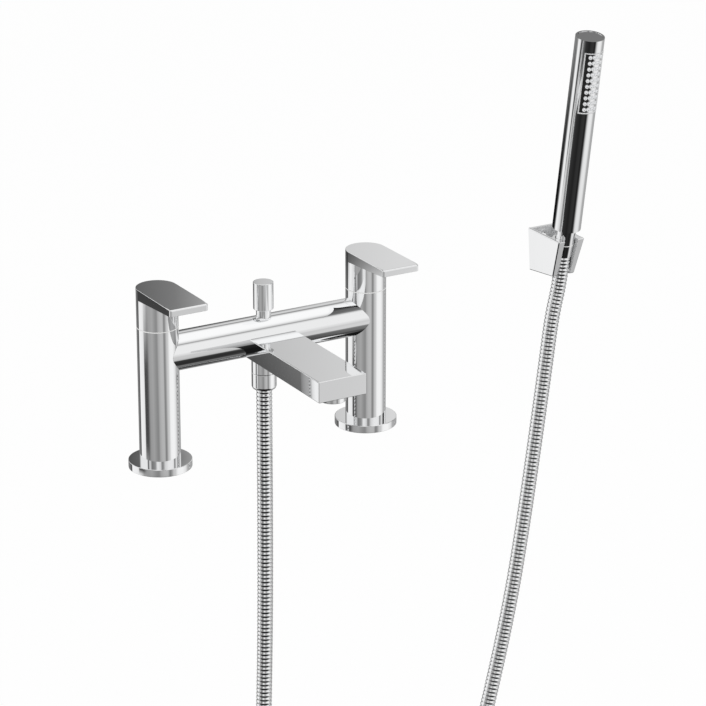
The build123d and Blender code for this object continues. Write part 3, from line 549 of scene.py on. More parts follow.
    def ramp(self, angle: bpy.types.NodeSocket, ramp: Ramp) -> bpy.types.NodeSocket:
        """A tone or a share that follows an angle.

        Args:
            angle: The angle in degrees.
            ramp: Its stops.

        Returns:
            The tone or the share.
        """
        span = 2 * ramp.reach
        along = self.math("DIVIDE", self.math("ADD", angle, ramp.reach), span)
        node = self.tree.nodes.new("ShaderNodeValToRGB")
        node.color_ramp.interpolation = "LINEAR"
        elements = node.color_ramp.elements
        elements.remove(elements[1])
        for number, (stop_angle, tone) in enumerate(ramp.stops):
            place = (stop_angle + ramp.reach) / span
            stop = elements[0] if number == 0 else elements.new(place)
            stop.position = place
            light = tone if ramp.share else linear(tone)
            stop.color = (light, light, light, 1)
        self.tree.links.new(along, node.inputs["Fac"])
        return node.outputs["Color"]

    def math(self, operation: str, *values: bpy.types.NodeSocket | float) -> bpy.types.NodeSocket:
        """One step of arithmetic.

        Args:
            operation: The operation's name.
            *values: Sockets or plain numbers.

        Returns:
            The result.
        """
        node = self.tree.nodes.new("ShaderNodeMath")
        node.operation = operation
        for socket, value in zip(node.inputs, values):
            if isinstance(value, bpy.types.NodeSocket):
                self.tree.links.new(value, socket)
            else:
                socket.default_value = value
        return node.outputs["Value"]

    def mix(self, first: bpy.types.NodeSocket, second: bpy.types.NodeSocket,
            share: bpy.types.NodeSocket) -> bpy.types.NodeSocket:
        """Goes from one tone to another.

        Args:
            first: The tone at a share of 0.
            second: The tone at a share of 1.
            share: The share.

        Returns:
            The mixed tone.
        """
        node = self.tree.nodes.new("ShaderNodeMix")
        node.data_type = "RGBA"
        self.tree.links.new(share, node.inputs["Factor"])
        self.tree.links.new(first, node.inputs["A"])
        self.tree.links.new(second, node.inputs["B"])
        return node.outputs["Result"]

    def product(self, first: bpy.types.NodeSocket, second: bpy.types.NodeSocket) -> bpy.types.NodeSocket:
        """Multiplies two tones.

        Args:
            first: One tone.
            second: The other tone.

        Returns:
            Their product.
        """
        node = self.tree.nodes.new("ShaderNodeMix")
        node.data_type = "RGBA"
        node.blend_type = "MULTIPLY"
        node.inputs["Factor"].default_value = 1.0
        self.tree.links.new(first, node.inputs["A"])
        self.tree.links.new(second, node.inputs["B"])
        return node.outputs["Result"]


@dataclass
class Studio:
    """Camera, floor, lamps and the surroundings that the chrome mirrors."""

    camera_place: Point = (-1.112, -2.0606, 0.9359)
    camera_yaw: float = 30.02
    camera_pitch: float = 20.21
    lens: float = 166.5
    sensor: float = 36.0
    farthest: float = 100.0
    floor_drop: float = 0.012
    floor_size: float = 60.0
    floor_color: Point = (0.97, 0.97, 0.97)
    floor_glow: float = 0.95
    ambient: float = 0.75
    lamps: tuple[tuple[str, Point, float, float], ...] = (
        ("key", (-1.2, -1.6, 2.2), 1.6, 14.0),
        ("fill", (1.8, -1.0, 1.4), 1.8, 7.0),
    )
    lamp_aim: Point = (0.1, 0.0, 0.0)

    def build(self) -> None:
        """Sets up the camera, the world, the floor and the lamps."""
        self.set_camera()
        self.set_world()
        self.lay_floor()
        self.hang_lamps()
        bpy.context.scene.view_settings.view_transform = "Standard"

    def set_camera(self) -> None:
        """Puts the camera at the photograph's place and angle."""
        data = bpy.data.cameras.new("camera")
        data.lens = self.lens
        data.sensor_width = self.sensor
        data.clip_end = self.farthest
        camera = stand("camera", data)
        camera.location = self.camera_place
        tilt = math.radians(90.0 - self.camera_pitch)
        camera.rotation_euler = (tilt, 0.0, -math.radians(self.camera_yaw))
        bpy.context.scene.camera = camera

    def set_world(self) -> None:
        """White behind everything, an even light, and a studio for mirror rays only."""
        world = bpy.data.worlds.new("studio")
        world.use_nodes = True
        bpy.context.scene.world = world
        tree = world.node_tree
        tree.nodes.clear()
        surroundings = Surroundings(tree)
        path = tree.nodes.new("ShaderNodeLightPath")
        plain = tree.nodes.new("ShaderNodeMix")
        plain.data_type = "RGBA"
        plain.inputs["A"].default_value = (self.ambient, self.ambient, self.ambient, 1)
        plain.inputs["B"].default_value = (1, 1, 1, 1)
        tree.links.new(path.outputs["Is Camera Ray"], plain.inputs["Factor"])
        mirror = tree.nodes.new("ShaderNodeMix")
        mirror.data_type = "RGBA"
        tree.links.new(path.outputs["Is Glossy Ray"], mirror.inputs["Factor"])
        tree.links.new(plain.outputs["Result"], mirror.inputs["A"])
        tree.links.new(surroundings.tone(), mirror.inputs["B"])
        background = tree.nodes.new("ShaderNodeBackground")
        tree.links.new(mirror.outputs["Result"], background.inputs["Color"])
        output = tree.nodes.new("ShaderNodeOutputWorld")
        tree.links.new(background.outputs["Background"], output.inputs["Surface"])

    def lay_floor(self) -> None:
        """A plain pale floor just under the lowest piece, which keeps the shadow."""
        level = cad_bounds[0][2] - self.floor_drop
        half = self.floor_size / 2
        mesh = bpy.data.meshes.new("floor")
        corners = [(-half, -half, level), (half, -half, level), (half, half, level), (-half, half, level)]
        mesh.from_pydata(corners, [], [(0, 1, 2, 3)])
        floor = stand("floor", mesh)
        floor.visible_glossy = False
        material = bpy.data.materials.new("studio_floor")
        material.use_nodes = True
        tree = material.node_tree
        tree.nodes.clear()
        matt = tree.nodes.new("ShaderNodeBsdfDiffuse")
        matt.inputs["Color"].default_value = (*self.floor_color, 1)
        glow = tree.nodes.new("ShaderNodeEmission")
        path = tree.nodes.new("ShaderNodeLightPath")
        share = tree.nodes.new("ShaderNodeMath")
        share.operation = "MULTIPLY"
        share.inputs[1].default_value = self.floor_glow
        tree.links.new(path.outputs["Is Camera Ray"], share.inputs[0])
        mix = tree.nodes.new("ShaderNodeMixShader")
        tree.links.new(share.outputs["Value"], mix.inputs["Fac"])
        tree.links.new(matt.outputs["BSDF"], mix.inputs[1])
        tree.links.new(glow.outputs["Emission"], mix.inputs[2])
        output = tree.nodes.new("ShaderNodeOutputMaterial")
        tree.links.new(mix.outputs["Shader"], output.inputs["Surface"])
        mesh.materials.append(material)

    def hang_lamps(self) -> None:
        """Two large soft lamps, which light the dull pieces and cast the soft shadow."""
        for name, place, size, power in self.lamps:
            data = bpy.data.lights.new(name, "AREA")
            data.shape = "SQUARE"
            data.size = size
            data.energy = power
            lamp = stand(name, data)
            lamp.location = place
            way = Vector(self.lamp_aim) - Vector(place)
            lamp.rotation_euler = way.to_track_quat("-Z", "Y").to_euler()
            lamp.visible_glossy = False


class Form:
    """A closed mesh in the making, whose sharp edges can be given a rounded break."""

    widest_break = 2.0 * MM
    break_segments = 4
    sharp = math.radians(32.0)

    def __init__(self) -> None:
        """Starts an empty form."""
        self.shape = bmesh.new()
        self.breaks = self.shape.edges.layers.float.new("bevel_weight_edge")

    def point(self, place: Point | Vector) -> bmesh.types.BMVert:
        """Adds a point."""
        return self.shape.verts.new(place)

    def face(self, *points: bmesh.types.BMVert, slot: int = 0) -> bmesh.types.BMFace:
        """Adds a face through some points.

        Args:
            *points: The points, in order.
            slot: Which of the piece's finishes it wears.

        Returns:
            The face.
        """
        face = self.shape.faces.new(points)
        face.material_index = slot
        return face

    def loop(self, places: Iterable[Point | Vector]) -> list[bmesh.types.BMVert]:
        """Adds several points."""
        return [self.point(place) for place in places]

    def skin(self, first: Sequence[bmesh.types.BMVert], second: Sequence[bmesh.types.BMVert],
             closed: bool = True, slot: int = 0) -> None:
        """Joins two rows of as many points with a band of faces.

        Args:
            first: One row.
            second: The other row.
            closed: Whether the rows are closed rings.
            slot: Which of the piece's finishes the band wears.
        """
        count = len(first)
        for number in range(count if closed else count - 1):
            following = (number + 1) % count
            self.face(first[number], first[following], second[following], second[number], slot=slot)

    def soften(self, points: Sequence[bmesh.types.BMVert], width: float, closed: bool = True) -> None:
        """Gives the edges along a row of points a rounded break.

        Args:
            points: The row.
            width: The break's width.
            closed: Whether the row is a closed ring.
        """
        count = len(points)
        for number in range(count if closed else count - 1):
            edge = self.shape.edges.get((points[number], points[(number + 1) % count]))
            edge[self.breaks] = width / self.widest_break

    def piece(self, name: str, slot: Slot, *finishes: bpy.types.Material) -> bpy.types.Object:
        """Turns the form into a finished piece with smooth faces.

        Args:
            name: The piece's name.
            slot: The record's slot that its finish belongs to.
            *finishes: Its materials, in the order of the faces' slots.

        Returns:
            The new object.
        """
        self.shape.normal_update()
        bmesh.ops.recalc_face_normals(self.shape, faces=self.shape.faces)
        for edge in self.shape.edges:
            flat = len(edge.link_faces) != 2 or edge.calc_face_angle(0.0) < self.sharp
            edge.smooth = flat or edge[self.breaks] > 0
        for face in self.shape.faces:
            face.smooth = True
        mesh = bpy.data.meshes.new(name)
        self.shape.to_mesh(mesh)
        self.shape.free()
        piece = stand(name, mesh)
        rounding = piece.modifiers.new("rounded_edges", "BEVEL")
        rounding.limit_method = "WEIGHT"
        rounding.width = self.widest_break
        rounding.segments = self.break_segments
        rounding.use_clamp_overlap = False
        piece.modifiers.new("flat_faces", "WEIGHTED_NORMAL").keep_sharp = True
        return finish_piece(piece, slot, *finishes)


def finish_piece(piece: bpy.types.Object, slot: Slot, *finishes: bpy.types.Material) -> bpy.types.Object:
    """Gives a piece its finishes.

    Args:
        piece: The piece.
        slot: The record's slot that its finish belongs to; not used.
        *finishes: Its materials, in the order of the faces' slots.

    Returns:
        The same object.
    """
    for finish in finishes:
        piece.data.materials.append(finish)
    return piece


def fit(piece: bpy.types.Object, body: Body, *nodes: str) -> bpy.types.Object:
    """Lets a piece ride on a body in the place of some solids.

    Args:
        piece: The piece.
        body: The body.
        *nodes: The solids that it stands for.

    Returns:
        The same object.
    """
    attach(piece, body.value)
    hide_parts(*nodes)
    return piece


def circle(radius: float, height: float, sides: int) -> list[Vector]:
    """Points of a level circle round the Z axis, from millimetres."""
    angles = [2 * math.pi * number / sides for number in range(sides)]
    return [Vector((radius * math.cos(angle), radius * math.sin(angle), height)) * MM for angle in angles]


def turned_form(profile: Sequence[Point], place: Matrix, sides: int = 128, slot: int = 0,
                form: Form | None = None) -> Form:
    """A closed form turned round an axis.

    Args:
        profile: Radius, height and rounded break of each corner in millimetres, once round the section.
        place: Where the axis stands, its Z along the heights.
        sides: Sides round the axis.
        slot: Which of the piece's finishes it wears.
        form: A form to add to, or none for a new one.

    Returns:
        The form.
    """
    form = form or Form()
    rings = [form.loop(place @ point for point in circle(radius, height, sides if radius else 1))
             for radius, height, _ in profile]
    for before, after in zip(rings, rings[1:] + rings[:1]):
        narrow, wide = sorted((before, after), key=len)
        if len(narrow) > 1:
            form.skin(before, after, slot=slot)
        elif len(wide) > 1:
            for point, following in zip(wide, wide[1:] + wide[:1]):
                form.face(narrow[0], point, following, slot=slot)
    for ring, (_, _, width) in zip(rings, profile):
        if width and len(ring) > 1:
            form.soften(ring, width * MM)
    return form


class Track:
    """A smooth line through close points, measured by length."""

    least_step = 1e-9

    def __init__(self, path: Sequence[Vector]) -> None:
        """Measures the line.

        Args:
            path: The points.
        """
        self.path = path
        self.marks = [0.0]
        for before, after in zip(path, path[1:]):
            self.marks.append(self.marks[-1] + (after - before).length)
        self.length = self.marks[-1]
        nexts = [*path[1:], path[-1]]
        lasts = [path[0], *path[:-1]]
        self.ways = [(after - before).normalized() for before, after in zip(lasts, nexts)]

    def at(self, along: float) -> tuple[Vector, Vector]:
        """The place and direction at a length.

        Args:
            along: The length from the start.

        Returns:
            The point and the direction there.
        """
        along = min(max(along, 0.0), self.length)
        low, high = 0, len(self.marks) - 1
        while high - low > 1:
            middle = (low + high) // 2
            low, high = (middle, high) if self.marks[middle] <= along else (low, middle)
        share = (along - self.marks[low]) / max(self.marks[high] - self.marks[low], self.least_step)
        way = self.ways[low].lerp(self.ways[high], share).normalized()
        return self.path[low].lerp(self.path[high], share), way

    def circle(self, shape: bmesh.types.BMesh, along: float, radius: float,
               sides: int) -> list[bmesh.types.BMVert]:
        """Adds a ring of points round the line.

        Args:
            shape: Where the points go.
            along: The ring's length along the line.
            radius: Its radius.
            sides: How many points it has.

        Returns:
            The new points.
        """
        place, way = self.at(along)
        across = (Vector((0, 1, 0)) - way * way.y).normalized()
        other = way.cross(across)
        angles = [2 * math.pi * number / sides for number in range(sides)]
        return [shape.verts.new(place + radius * (math.cos(angle) * across + math.sin(angle) * other))
                for angle in angles]


def tube_along(name: str, path: Sequence[Vector], rings: Iterable[tuple[float, float]], bore: float,
               sides: int) -> bpy.types.Mesh:
    """A closed tube whose outside follows rings along a path, with a plain bore.

    Args:
        name: The mesh's name.
        path: Close points that the tube follows.
        rings: Lengths along the path, each with its outer radius, in order.
        bore: The bore's radius.
        sides: Sides round the tube.

    Returns:
        The mesh.
    """
    track = Track(path)
    shape = bmesh.new()
    outline = list(rings)
    first, last = outline[0][0], outline[-1][0]
    outside = [track.circle(shape, along, radius, sides)
               for along, radius in [(first, bore), *outline, (last, bore)]]
    step = (last - first) / BORE_STEPS
    inside = [track.circle(shape, first + number * step, bore, sides) for number in range(1, BORE_STEPS)]
    for row in (outside, [outside[0], *inside, outside[-1]]):
        for before, after in zip(row, row[1:]):
            for number in range(sides):
                following = (number + 1) % sides
                shape.faces.new((before[number], before[following], after[following], after[number]))
    bmesh.ops.recalc_face_normals(shape, faces=shape.faces)
    mesh = bpy.data.meshes.new(name)
    shape.to_mesh(mesh)
    shape.free()
    mesh.shade_smooth()
    return mesh


@dataclass
class Hose:
    """The ribbed metal hose, which hangs in one loop from the outlet to the handset."""

    diameter: float = 12.5 * MM
    bore: float = 9.0 * MM
    groove: float = 0.6 * MM
    rib: float = 3.3 * MM
    real_length: float = 1.25
    line_steps: int = 24
    plain_end: float = 0.5 * MM
    sides: int = 32
    route: tuple[Point, ...] = (
        (0, 0, 0.0463), (0, 0, -0.085), (-0.0025, 0.0003, -0.225), (-0.008, 0.0015, -0.355),
        (-0.002, 0.005, -0.416), (0.024, 0.012, -0.467), (0.06, 0.02, -0.495), (0.1007, 0.026, -0.502),
        (0.141, 0.03, -0.491), (0.1735, 0.032, -0.462), (0.2, 0.033, -0.407), (0.231, 0.035, -0.2936),
        (0.2526, 0.038, -0.21), (0.2683, 0.044, -0.1417), (0.2823, 0.05, -0.0733), (0.295, 0.055, -0.0052),
        (0.3018, 0.0576, 0.034), (0.3089, 0.05829, 0.06017), (0.3089, 0.05408, 0.08603),
    )
    rib_shares: Profile = (
        (0.0, 0.0), (0.11, 0.2), (0.24, 0.58), (0.37, 0.88), (0.5, 1.0), (0.63, 0.88), (0.76, 0.58),
        (0.89, 0.2),
    )

    def line(self) -> list[Vector]:
        """The smooth line through the route.

        Returns:
            Close points on the line.
        """
        data = bpy.data.curves.new("hose_line", "CURVE")
        data.dimensions = "3D"
        data.resolution_u = self.line_steps
        spline = data.splines.new("NURBS")
        spline.points.add(len(self.route) - 1)
        for point, place in zip(spline.points, self.route):
            point.co = (*place, 1.0)
        spline.order_u = 3
        spline.use_endpoint_u = True
        carrier = stand("hose_line", data)
        read = worked_mesh(carrier)
        points = [vertex.co.copy() for vertex in read.vertices]
        bpy.data.objects.remove(carrier)
        bpy.data.meshes.remove(read)
        return points

    def rings(self, length: float) -> list[tuple[float, float]]:
        """Lengths and radii of the wound armour, from one plain end to the other.

        Args:
            length: The line's length.

        Returns:
            The rings.
        """
        crest = self.diameter / 2
        valley = crest - self.groove
        count = round((length - 2 * self.plain_end) / self.rib)
        pitch = (length - 2 * self.plain_end) / count
        rings = [(0.0, valley)]
        for number in range(count):
            start = self.plain_end + number * pitch
            rings += [(start + share * pitch, valley + rise * self.groove) for share, rise in self.rib_shares]
        rings.append((length, valley))
        return rings

    def build(self) -> None:
        """Builds the hose."""
        path = self.line()
        length = Track(path).length
        mesh = tube_along("ribbed_hose", path, self.rings(length), self.bore / 2, self.sides)
        hose = finish_piece(stand("ribbed_hose", mesh), Slot.CHROME, HOSE_CHROME)
        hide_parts("hose")
        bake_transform(hose)
        log.info("ribbed hose, %.3f m on its line", length)


@dataclass
class Column:
    """One inlet column: its foot flange, its pale seam ring and its paddle lever."""

    side: Side
    reach_from_middle: float = 90.0
    radius: float = 15.75
    flange_radius: float = 24.25
    flange_height: float = 6.0
    flange_foot_break: float = 0.3
    flange_rim_break: float = 0.45
    flange_neck: float = 9.85
    flange_bore: float = 15.0
    seam_bottom: float = 112.0
    seam_top: float = 112.75
    seam_stand: float = 0.03
    lever_bottom: float = 112.8
    lever_top: float = 143.3
    lever_reach: float = 53.0
    back_thickness: float = 9.3
    front_thickness: float = 5.2
    corner_round: float = 1.6
    corner_steps: int = 6
    front_break: float = 1.3
    edge_break: float = 0.15
    side_break: float = 0.04
    bore: float = 12.3
    bore_depth: float = 12.0
    sides: int = 48

    @property
    def place(self) -> Matrix:
        """Where the column stands."""
        return Matrix.Translation((self.side.value * self.reach_from_middle * MM, 0, 0))

    def build(self) -> None:
        """Builds the column's pieces."""
        self.build_flange()
        self.build_seam()
        self.build_lever()
        log.info("%s column", self.side.word)

    def build_flange(self) -> None:
        """The foot flange, a flat polished disc with a neck that carries the column's line down to it."""
        inner = self.flange_bore
        outer = self.flange_radius
        form = turned_form((
            (inner, 0, 0), (outer, 0, self.flange_foot_break),
            (outer, self.flange_height, self.flange_rim_break), (self.radius, self.flange_height, 0),
            (self.radius, self.flange_neck, 0), (inner, self.flange_neck, 0)), self.place)
        flange = form.piece(f"{self.side.word}_foot_flange", Slot.CHROME, CHROME)
        fit(flange, Body.MIXER, f"{self.side.word}_flange")

    def build_seam(self) -> None:
        """The pale ring that the lever's sleeve turns on."""
        outer = self.radius + self.seam_stand
        form = turned_form((
            (self.bore, self.seam_bottom, 0), (outer, self.seam_bottom, 0), (outer, self.seam_top, 0),
            (self.bore, self.seam_top, 0)), self.place)
        ring = form.piece(f"{self.side.word}_slip_ring", Slot.PALE_RING, PALE_RING)
        fit(ring, Body.MIXER, f"{self.side.word}_seam_ring")

    def underside(self, forward: float) -> float:
        """How high the paddle's underside is, at a distance in front of the column's axis."""
        slope = (self.back_thickness - self.front_thickness) / (self.lever_reach + self.radius)
        return self.lever_top - self.back_thickness + (forward + self.radius) * slope

    def at(self, across: float, forward: float, height: float) -> Vector:
        """A point from its distances to the column's foot in millimetres."""
        return self.place @ (Vector((across, -forward, height)) * MM)

    def half_circle(self, radius: float, way: int) -> Profile:
        """Places across and forward on half a circle, from the right to the left.

        Args:
            radius: The circle's radius.
            way: 1 for the front half, -1 for the back half.

        Returns:
            The places.
        """
        turns = [math.pi * number / self.sides for number in range(self.sides + 1)]
        return [(radius * math.cos(turn), way * radius * math.sin(turn)) for turn in turns]

    def tip_outline(self) -> Profile:
        """Places across and forward along the paddle's tip, from the right to the left.

        Returns:
            The places.
        """
        turns = [math.pi / 2 * number / self.corner_steps for number in range(self.corner_steps + 1)]
        across = self.radius - self.corner_round
        forward = self.lever_reach - self.corner_round
        right = [(across + self.corner_round * math.cos(turn), forward + self.corner_round * math.sin(turn))
                 for turn in turns]
        return right + [(-across, forward) for across, forward in reversed(right)]

    def build_lever(self) -> None:
        """The sleeve and the flat paddle, in one piece."""
        form = Form()
        back, front = self.half_circle(self.radius, -1), self.half_circle(self.radius, 1)
        tip = self.tip_outline()
        back_low = form.loop(self.at(x, y, self.lever_bottom) for x, y in back)
        front_low = form.loop(self.at(x, y, self.lever_bottom) for x, y in front[1:-1])
        front_high = form.loop(self.at(x, y, self.underside(y)) for x, y in front)
        back_high = form.loop(self.at(x, y, self.lever_top) for x, y in back)
        tip_high = form.loop(self.at(x, y, self.lever_top) for x, y in tip)
        tip_low = form.loop(self.at(x, y, self.underside(y)) for x, y in tip)

        form.skin(back_low[1:-1], back_high[1:-1], closed=False)
        form.face(back_low[0], back_low[1], back_high[1], back_high[0], front_high[0])
        form.face(back_low[-1], back_low[-2], back_high[-2], back_high[-1], front_high[-1])
        form.skin([back_low[0], *front_low, back_low[-1]], front_high, closed=False)
        form.skin(tip_low, tip_high, closed=False)
        form.face(*back_high, *reversed(tip_high))
        form.face(*front_high, *reversed(tip_low))
        self.bore_sleeve(form, [*back_low, *reversed(front_low)])

        form.soften(back_high, self.edge_break * MM, closed=False)
        form.soften(tip_high, self.front_break * MM, closed=False)
        form.soften(tip_low, self.edge_break * MM, closed=False)
        for end in (0, -1):
            form.face(front_high[end], back_high[end], tip_high[end], tip_low[end])
            form.soften([back_high[end], tip_high[end]], self.side_break * MM, closed=False)
            form.soften([front_high[end], tip_low[end]], self.edge_break * MM, closed=False)
        lever = form.piece(f"{self.side.word}_paddle_lever", Slot.CHROME, CHROME)
        fit(lever, self.side.lever_body, f"{self.side.word}_lever")

    def bore_sleeve(self, form: Form, foot: Sequence[bmesh.types.BMVert]) -> None:
        """Closes the sleeve's foot with a ring and a bore.

        Args:
            form: The lever's form.
            foot: The points once round the sleeve's foot.
        """
        back, front = self.half_circle(self.bore, -1), self.half_circle(self.bore, 1)
        around = [*back, *reversed(front[1:-1])]
        low = form.loop(self.at(x, y, self.lever_bottom) for x, y in around)
        high = form.loop(self.at(x, y, self.lever_bottom + self.bore_depth) for x, y in around)
        form.skin(foot, low)
        form.skin(low, high)
        form.face(*high)


@dataclass
class Spout:
    """The flat rectangular spout."""

    width: float = 40.0
    top: float = 93.5
    bottom: float = 77.0
    root: float = -6.0
    reach: float = -121.0
    long_break: float = 0.7
    tip_break: float = 0.5

    def build(self) -> None:
        """Builds the spout, its root hidden in the crossbar."""
        form = Form()
        half = self.width / 2
        corners = ((-half, self.bottom), (half, self.bottom), (half, self.top), (-half, self.top))
        root = form.loop((across * MM, self.root * MM, height * MM) for across, height in corners)
        tip = form.loop((across * MM, self.reach * MM, height * MM) for across, height in corners)
        form.skin(root, tip)
        form.face(*root)
        form.face(*tip)
        for start, end in zip(root, tip):
            form.soften([start, end], self.long_break * MM, closed=False)
        form.soften(tip, self.tip_break * MM)
        fit(form.piece("flat_spout", Slot.CHROME, CHROME), Body.MIXER, "spout")
        log.info("spout")


@dataclass
class Diverter:
    """The pull-up knob behind the spout."""

    radius: float = 7.8
    bottom: float = 110.5
    top: float = 132.0
    bore: float = 3.0
    bore_depth: float = 14.0
    foot_break: float = 0.5
    top_break: float = 0.45

    def build(self) -> None:
        """Builds the knob."""
        floor = self.bottom + self.bore_depth
        form = turned_form((
            (self.bore, self.bottom, 0), (self.radius, self.bottom, self.foot_break),
            (self.radius, self.top, self.top_break), (0, self.top, 0), (0, floor, 0),
            (self.bore, floor, 0)), Matrix(), SMALL_SIDES)
        fit(form.piece("pull_up_knob", Slot.CHROME, CHROME), Body.DIVERTER, "diverter_knob")
        log.info("diverter knob")


@dataclass
class ReturnSpring:
    """The light coil spring inside the crossbar that pushes the diverter down."""

    bottom: float = 84.1
    top: float = 96.9
    coil_radius: float = 3.8
    wire_radius: float = 0.5
    wire_steps: int = 3
    turns: int = 6
    steps: int = 20
    lift: float = 9.0

    def build(self) -> None:
        """Builds the spring."""
        data = bpy.data.curves.new("coil_spring", "CURVE")
        data.dimensions = "3D"
        data.bevel_depth = self.wire_radius * MM
        data.bevel_resolution = self.wire_steps
        data.use_fill_caps = True
        spline = data.splines.new("POLY")
        count = self.turns * self.steps
        spline.points.add(count)
        low, high = self.bottom + self.wire_radius, self.top - self.wire_radius
        for number, point in enumerate(spline.points):
            turn = 2 * math.pi * number / self.steps
            height = low + (high - low) * number / count
            across, forward = self.coil_radius * math.cos(turn), self.coil_radius * math.sin(turn)
            point.co = (across * MM, forward * MM, height * MM, 1.0)
        carrier = stand("coil_carrier", data)
        mesh = worked_mesh(carrier)
        bpy.data.objects.remove(carrier)
        mesh.materials.clear()
        mesh.shade_smooth()
        spring = finish_piece(stand("coil_spring", mesh), Slot.STEEL, STEEL)
        fit(spring, Body.MIXER, "diverter_spring")
        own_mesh(spring)
        log.info("return spring, %d turns", self.turns)


@dataclass
class HoseNut:
    """The nut that joins the hose to the outlet under the crossbar."""

    top: float = 59.3
    bottom: float = 46.3
    top_radius: float = 9.65
    foot_radius: float = 8.8
    band_height: float = 11.4
    bore: float = 4.6
    end_break: float = 0.4
    waist_break: float = 0.5

    def build(self) -> None:
        """Builds the nut, a straight band over a short tapered foot."""
        form = turned_form((
            (self.bore, self.bottom, 0), (self.foot_radius, self.bottom, self.end_break),
            (self.top_radius, self.top - self.band_height, self.waist_break),
            (self.top_radius, self.top, self.end_break), (self.bore, self.top, 0)), Matrix(), SMALL_SIDES)
        fit(form.piece("hose_cone_nut", Slot.CHROME, CHROME), Body.MIXER, "hose_nut")
        log.info("hose nut")


@dataclass(frozen=True)
class Nozzle:
    """One soft spray nozzle: a short cone with a round tip, and a dark disc over its fine hole, painted shade
    that stands for the dark inside of the hole.
    """

    radius: float = 1.55
    height: float = 1.65
    sink: float = 0.4
    shoulder: float = 0.55
    taper: float = 0.15
    tip_depth: float = 0.45
    tip_radius: float = 0.95
    tip_round: float = 0.25
    tip_drop: float = 0.08
    hole_radius: float = 0.32
    shade_disc_radius: float = 0.34
    shade_disc_depth: float = 0.05
    shade_disc_stand: float = 0.01
    sides: int = 20
    hole_sides: int = 12

    def add(self, form: Form, place: Matrix) -> None:
        """Adds the nozzle to a form.

        Args:
            form: The form.
            place: Where the nozzle's root stands, its Z outwards.
        """
        top = self.height
        cone = ((0, 0, 0), (self.radius, 0, 0), (self.radius, self.shoulder, 0),
                (self.radius - self.taper, top - self.tip_depth, 0),
                (self.tip_radius, top - self.tip_drop, 0), (self.tip_radius - self.tip_round, top, 0),
                (self.hole_radius, top, 0))
        # The disc over the hole wears the second finish, a dark painted shade in place of the hole's own
        # shade.
        low, high = top - self.shade_disc_depth, top + self.shade_disc_stand
        shade_disc = ((0, low, 0), (self.shade_disc_radius, low, 0), (self.shade_disc_radius, high, 0), (0, high, 0))
        turned_form(cone, place, self.sides, form=form)
        turned_form(shade_disc, place, self.hole_sides, 1, form)


@dataclass
class Handset:
    """The spray panel of the pencil handset: a framed curved plate with rows of nozzles."""

    foot: Point = (308.9, 50.0, 111.1)
    lean: float = 9.25
    radius: float = 11.8
    panel_bottom: float = 106.2
    panel_top: float = 158.8
    panel_half_angle: float = 49.0
    recess: float = 0.25
    frame_width: float = 1.1
    frame_foot: float = 0.8
    frame_section: Profile = ((0.05, 0.0), (0.2, 0.25), (0.45, 0.35), (0.7, 0.25))
    rows: int = 10
    row_spacing: float = 5.0
    columns: tuple[float, ...] = (-24.0, -8.0, 8.0, 24.0)
    nozzle: Nozzle = Nozzle()
    steps: int = 40

    @property
    def place(self) -> Matrix:
        """Where the handset's tube stands, its Z along the tube."""
        turn = Matrix.Rotation(math.radians(self.lean), 4, "X")
        return Matrix.Translation(Vector(self.foot) * MM) @ turn

    def at(self, angle: float, along: float, radius: float) -> Vector:
        """A point round the tube, at an angle from its front to the right, from millimetres."""
        turn = math.radians(angle)
        return self.place @ (Vector((radius * math.sin(turn), -radius * math.cos(turn), along)) * MM)

    def border(self, inset: float, radius: float) -> list[Vector]:
        """Points once round the panel.

        Args:
            inset: Millimetres in from the panel's edge.
            radius: Millimetres from the tube's axis.

        Returns:
            The points.
        """
        wide = self.panel_half_angle - math.degrees(inset / self.radius)
        low, high = self.panel_bottom + inset, self.panel_top - inset
        across = [wide * (2 * number / self.steps - 1) for number in range(self.steps + 1)]
        below = [self.at(angle, low, radius) for angle in across]
        above = [self.at(angle, high, radius) for angle in reversed(across)]
        return below + above

    def build(self) -> None:
        """Builds the panel and its nozzles."""
        self.build_panel()
        self.build_nozzles()
        log.info("spray panel, %d nozzles", self.rows * len(self.columns))

    def build_panel(self) -> None:
        """The curved plate, and the satin frame that stands a little above it."""
        form = Form()
        face_radius = self.radius - self.recess
        outset = self.frame_section[0][0]
        sections = [(outset, face_radius - self.frame_foot),
                    *((inset, self.radius + rise) for inset, rise in self.frame_section),
                    (self.frame_width, face_radius)]
        loops = [form.loop(self.border(inset, radius)) for inset, radius in sections]
        for before, after in zip(loops, loops[1:]):
            form.skin(before, after, slot=1)
        for ring in (loops[-1], loops[0]):
            half = len(ring) // 2
            form.skin(ring[:half], list(reversed(ring[half:])), closed=False)
        fit(form.piece("spray_panel", Slot.CHROME, CHROME, CASTING), Body.HANDSET, "spray_plate")

    def build_nozzles(self) -> None:
        """The rows of nozzles, as one piece."""
        nozzles = Form()
        middle = (self.panel_bottom + self.panel_top) / 2
        start = middle - self.row_spacing * (self.rows - 1) / 2
        for angle in self.columns:
            turn = math.radians(angle)
            outward = self.place.to_3x3() @ Vector((math.sin(turn), -math.cos(turn), 0))
            stance = outward.to_track_quat("Z", "Y").to_matrix().to_4x4()
            for row in range(self.rows):
                along = start + row * self.row_spacing
                root = self.at(angle, along, self.radius - self.recess - self.nozzle.sink)
                self.nozzle.add(nozzles, Matrix.Translation(root) @ stance)
        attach(nozzles.piece("spray_nozzles", Slot.VALVE_PLASTIC, NOZZLE, NOZZLE_HOLE_SHADE), Body.HANDSET.value)


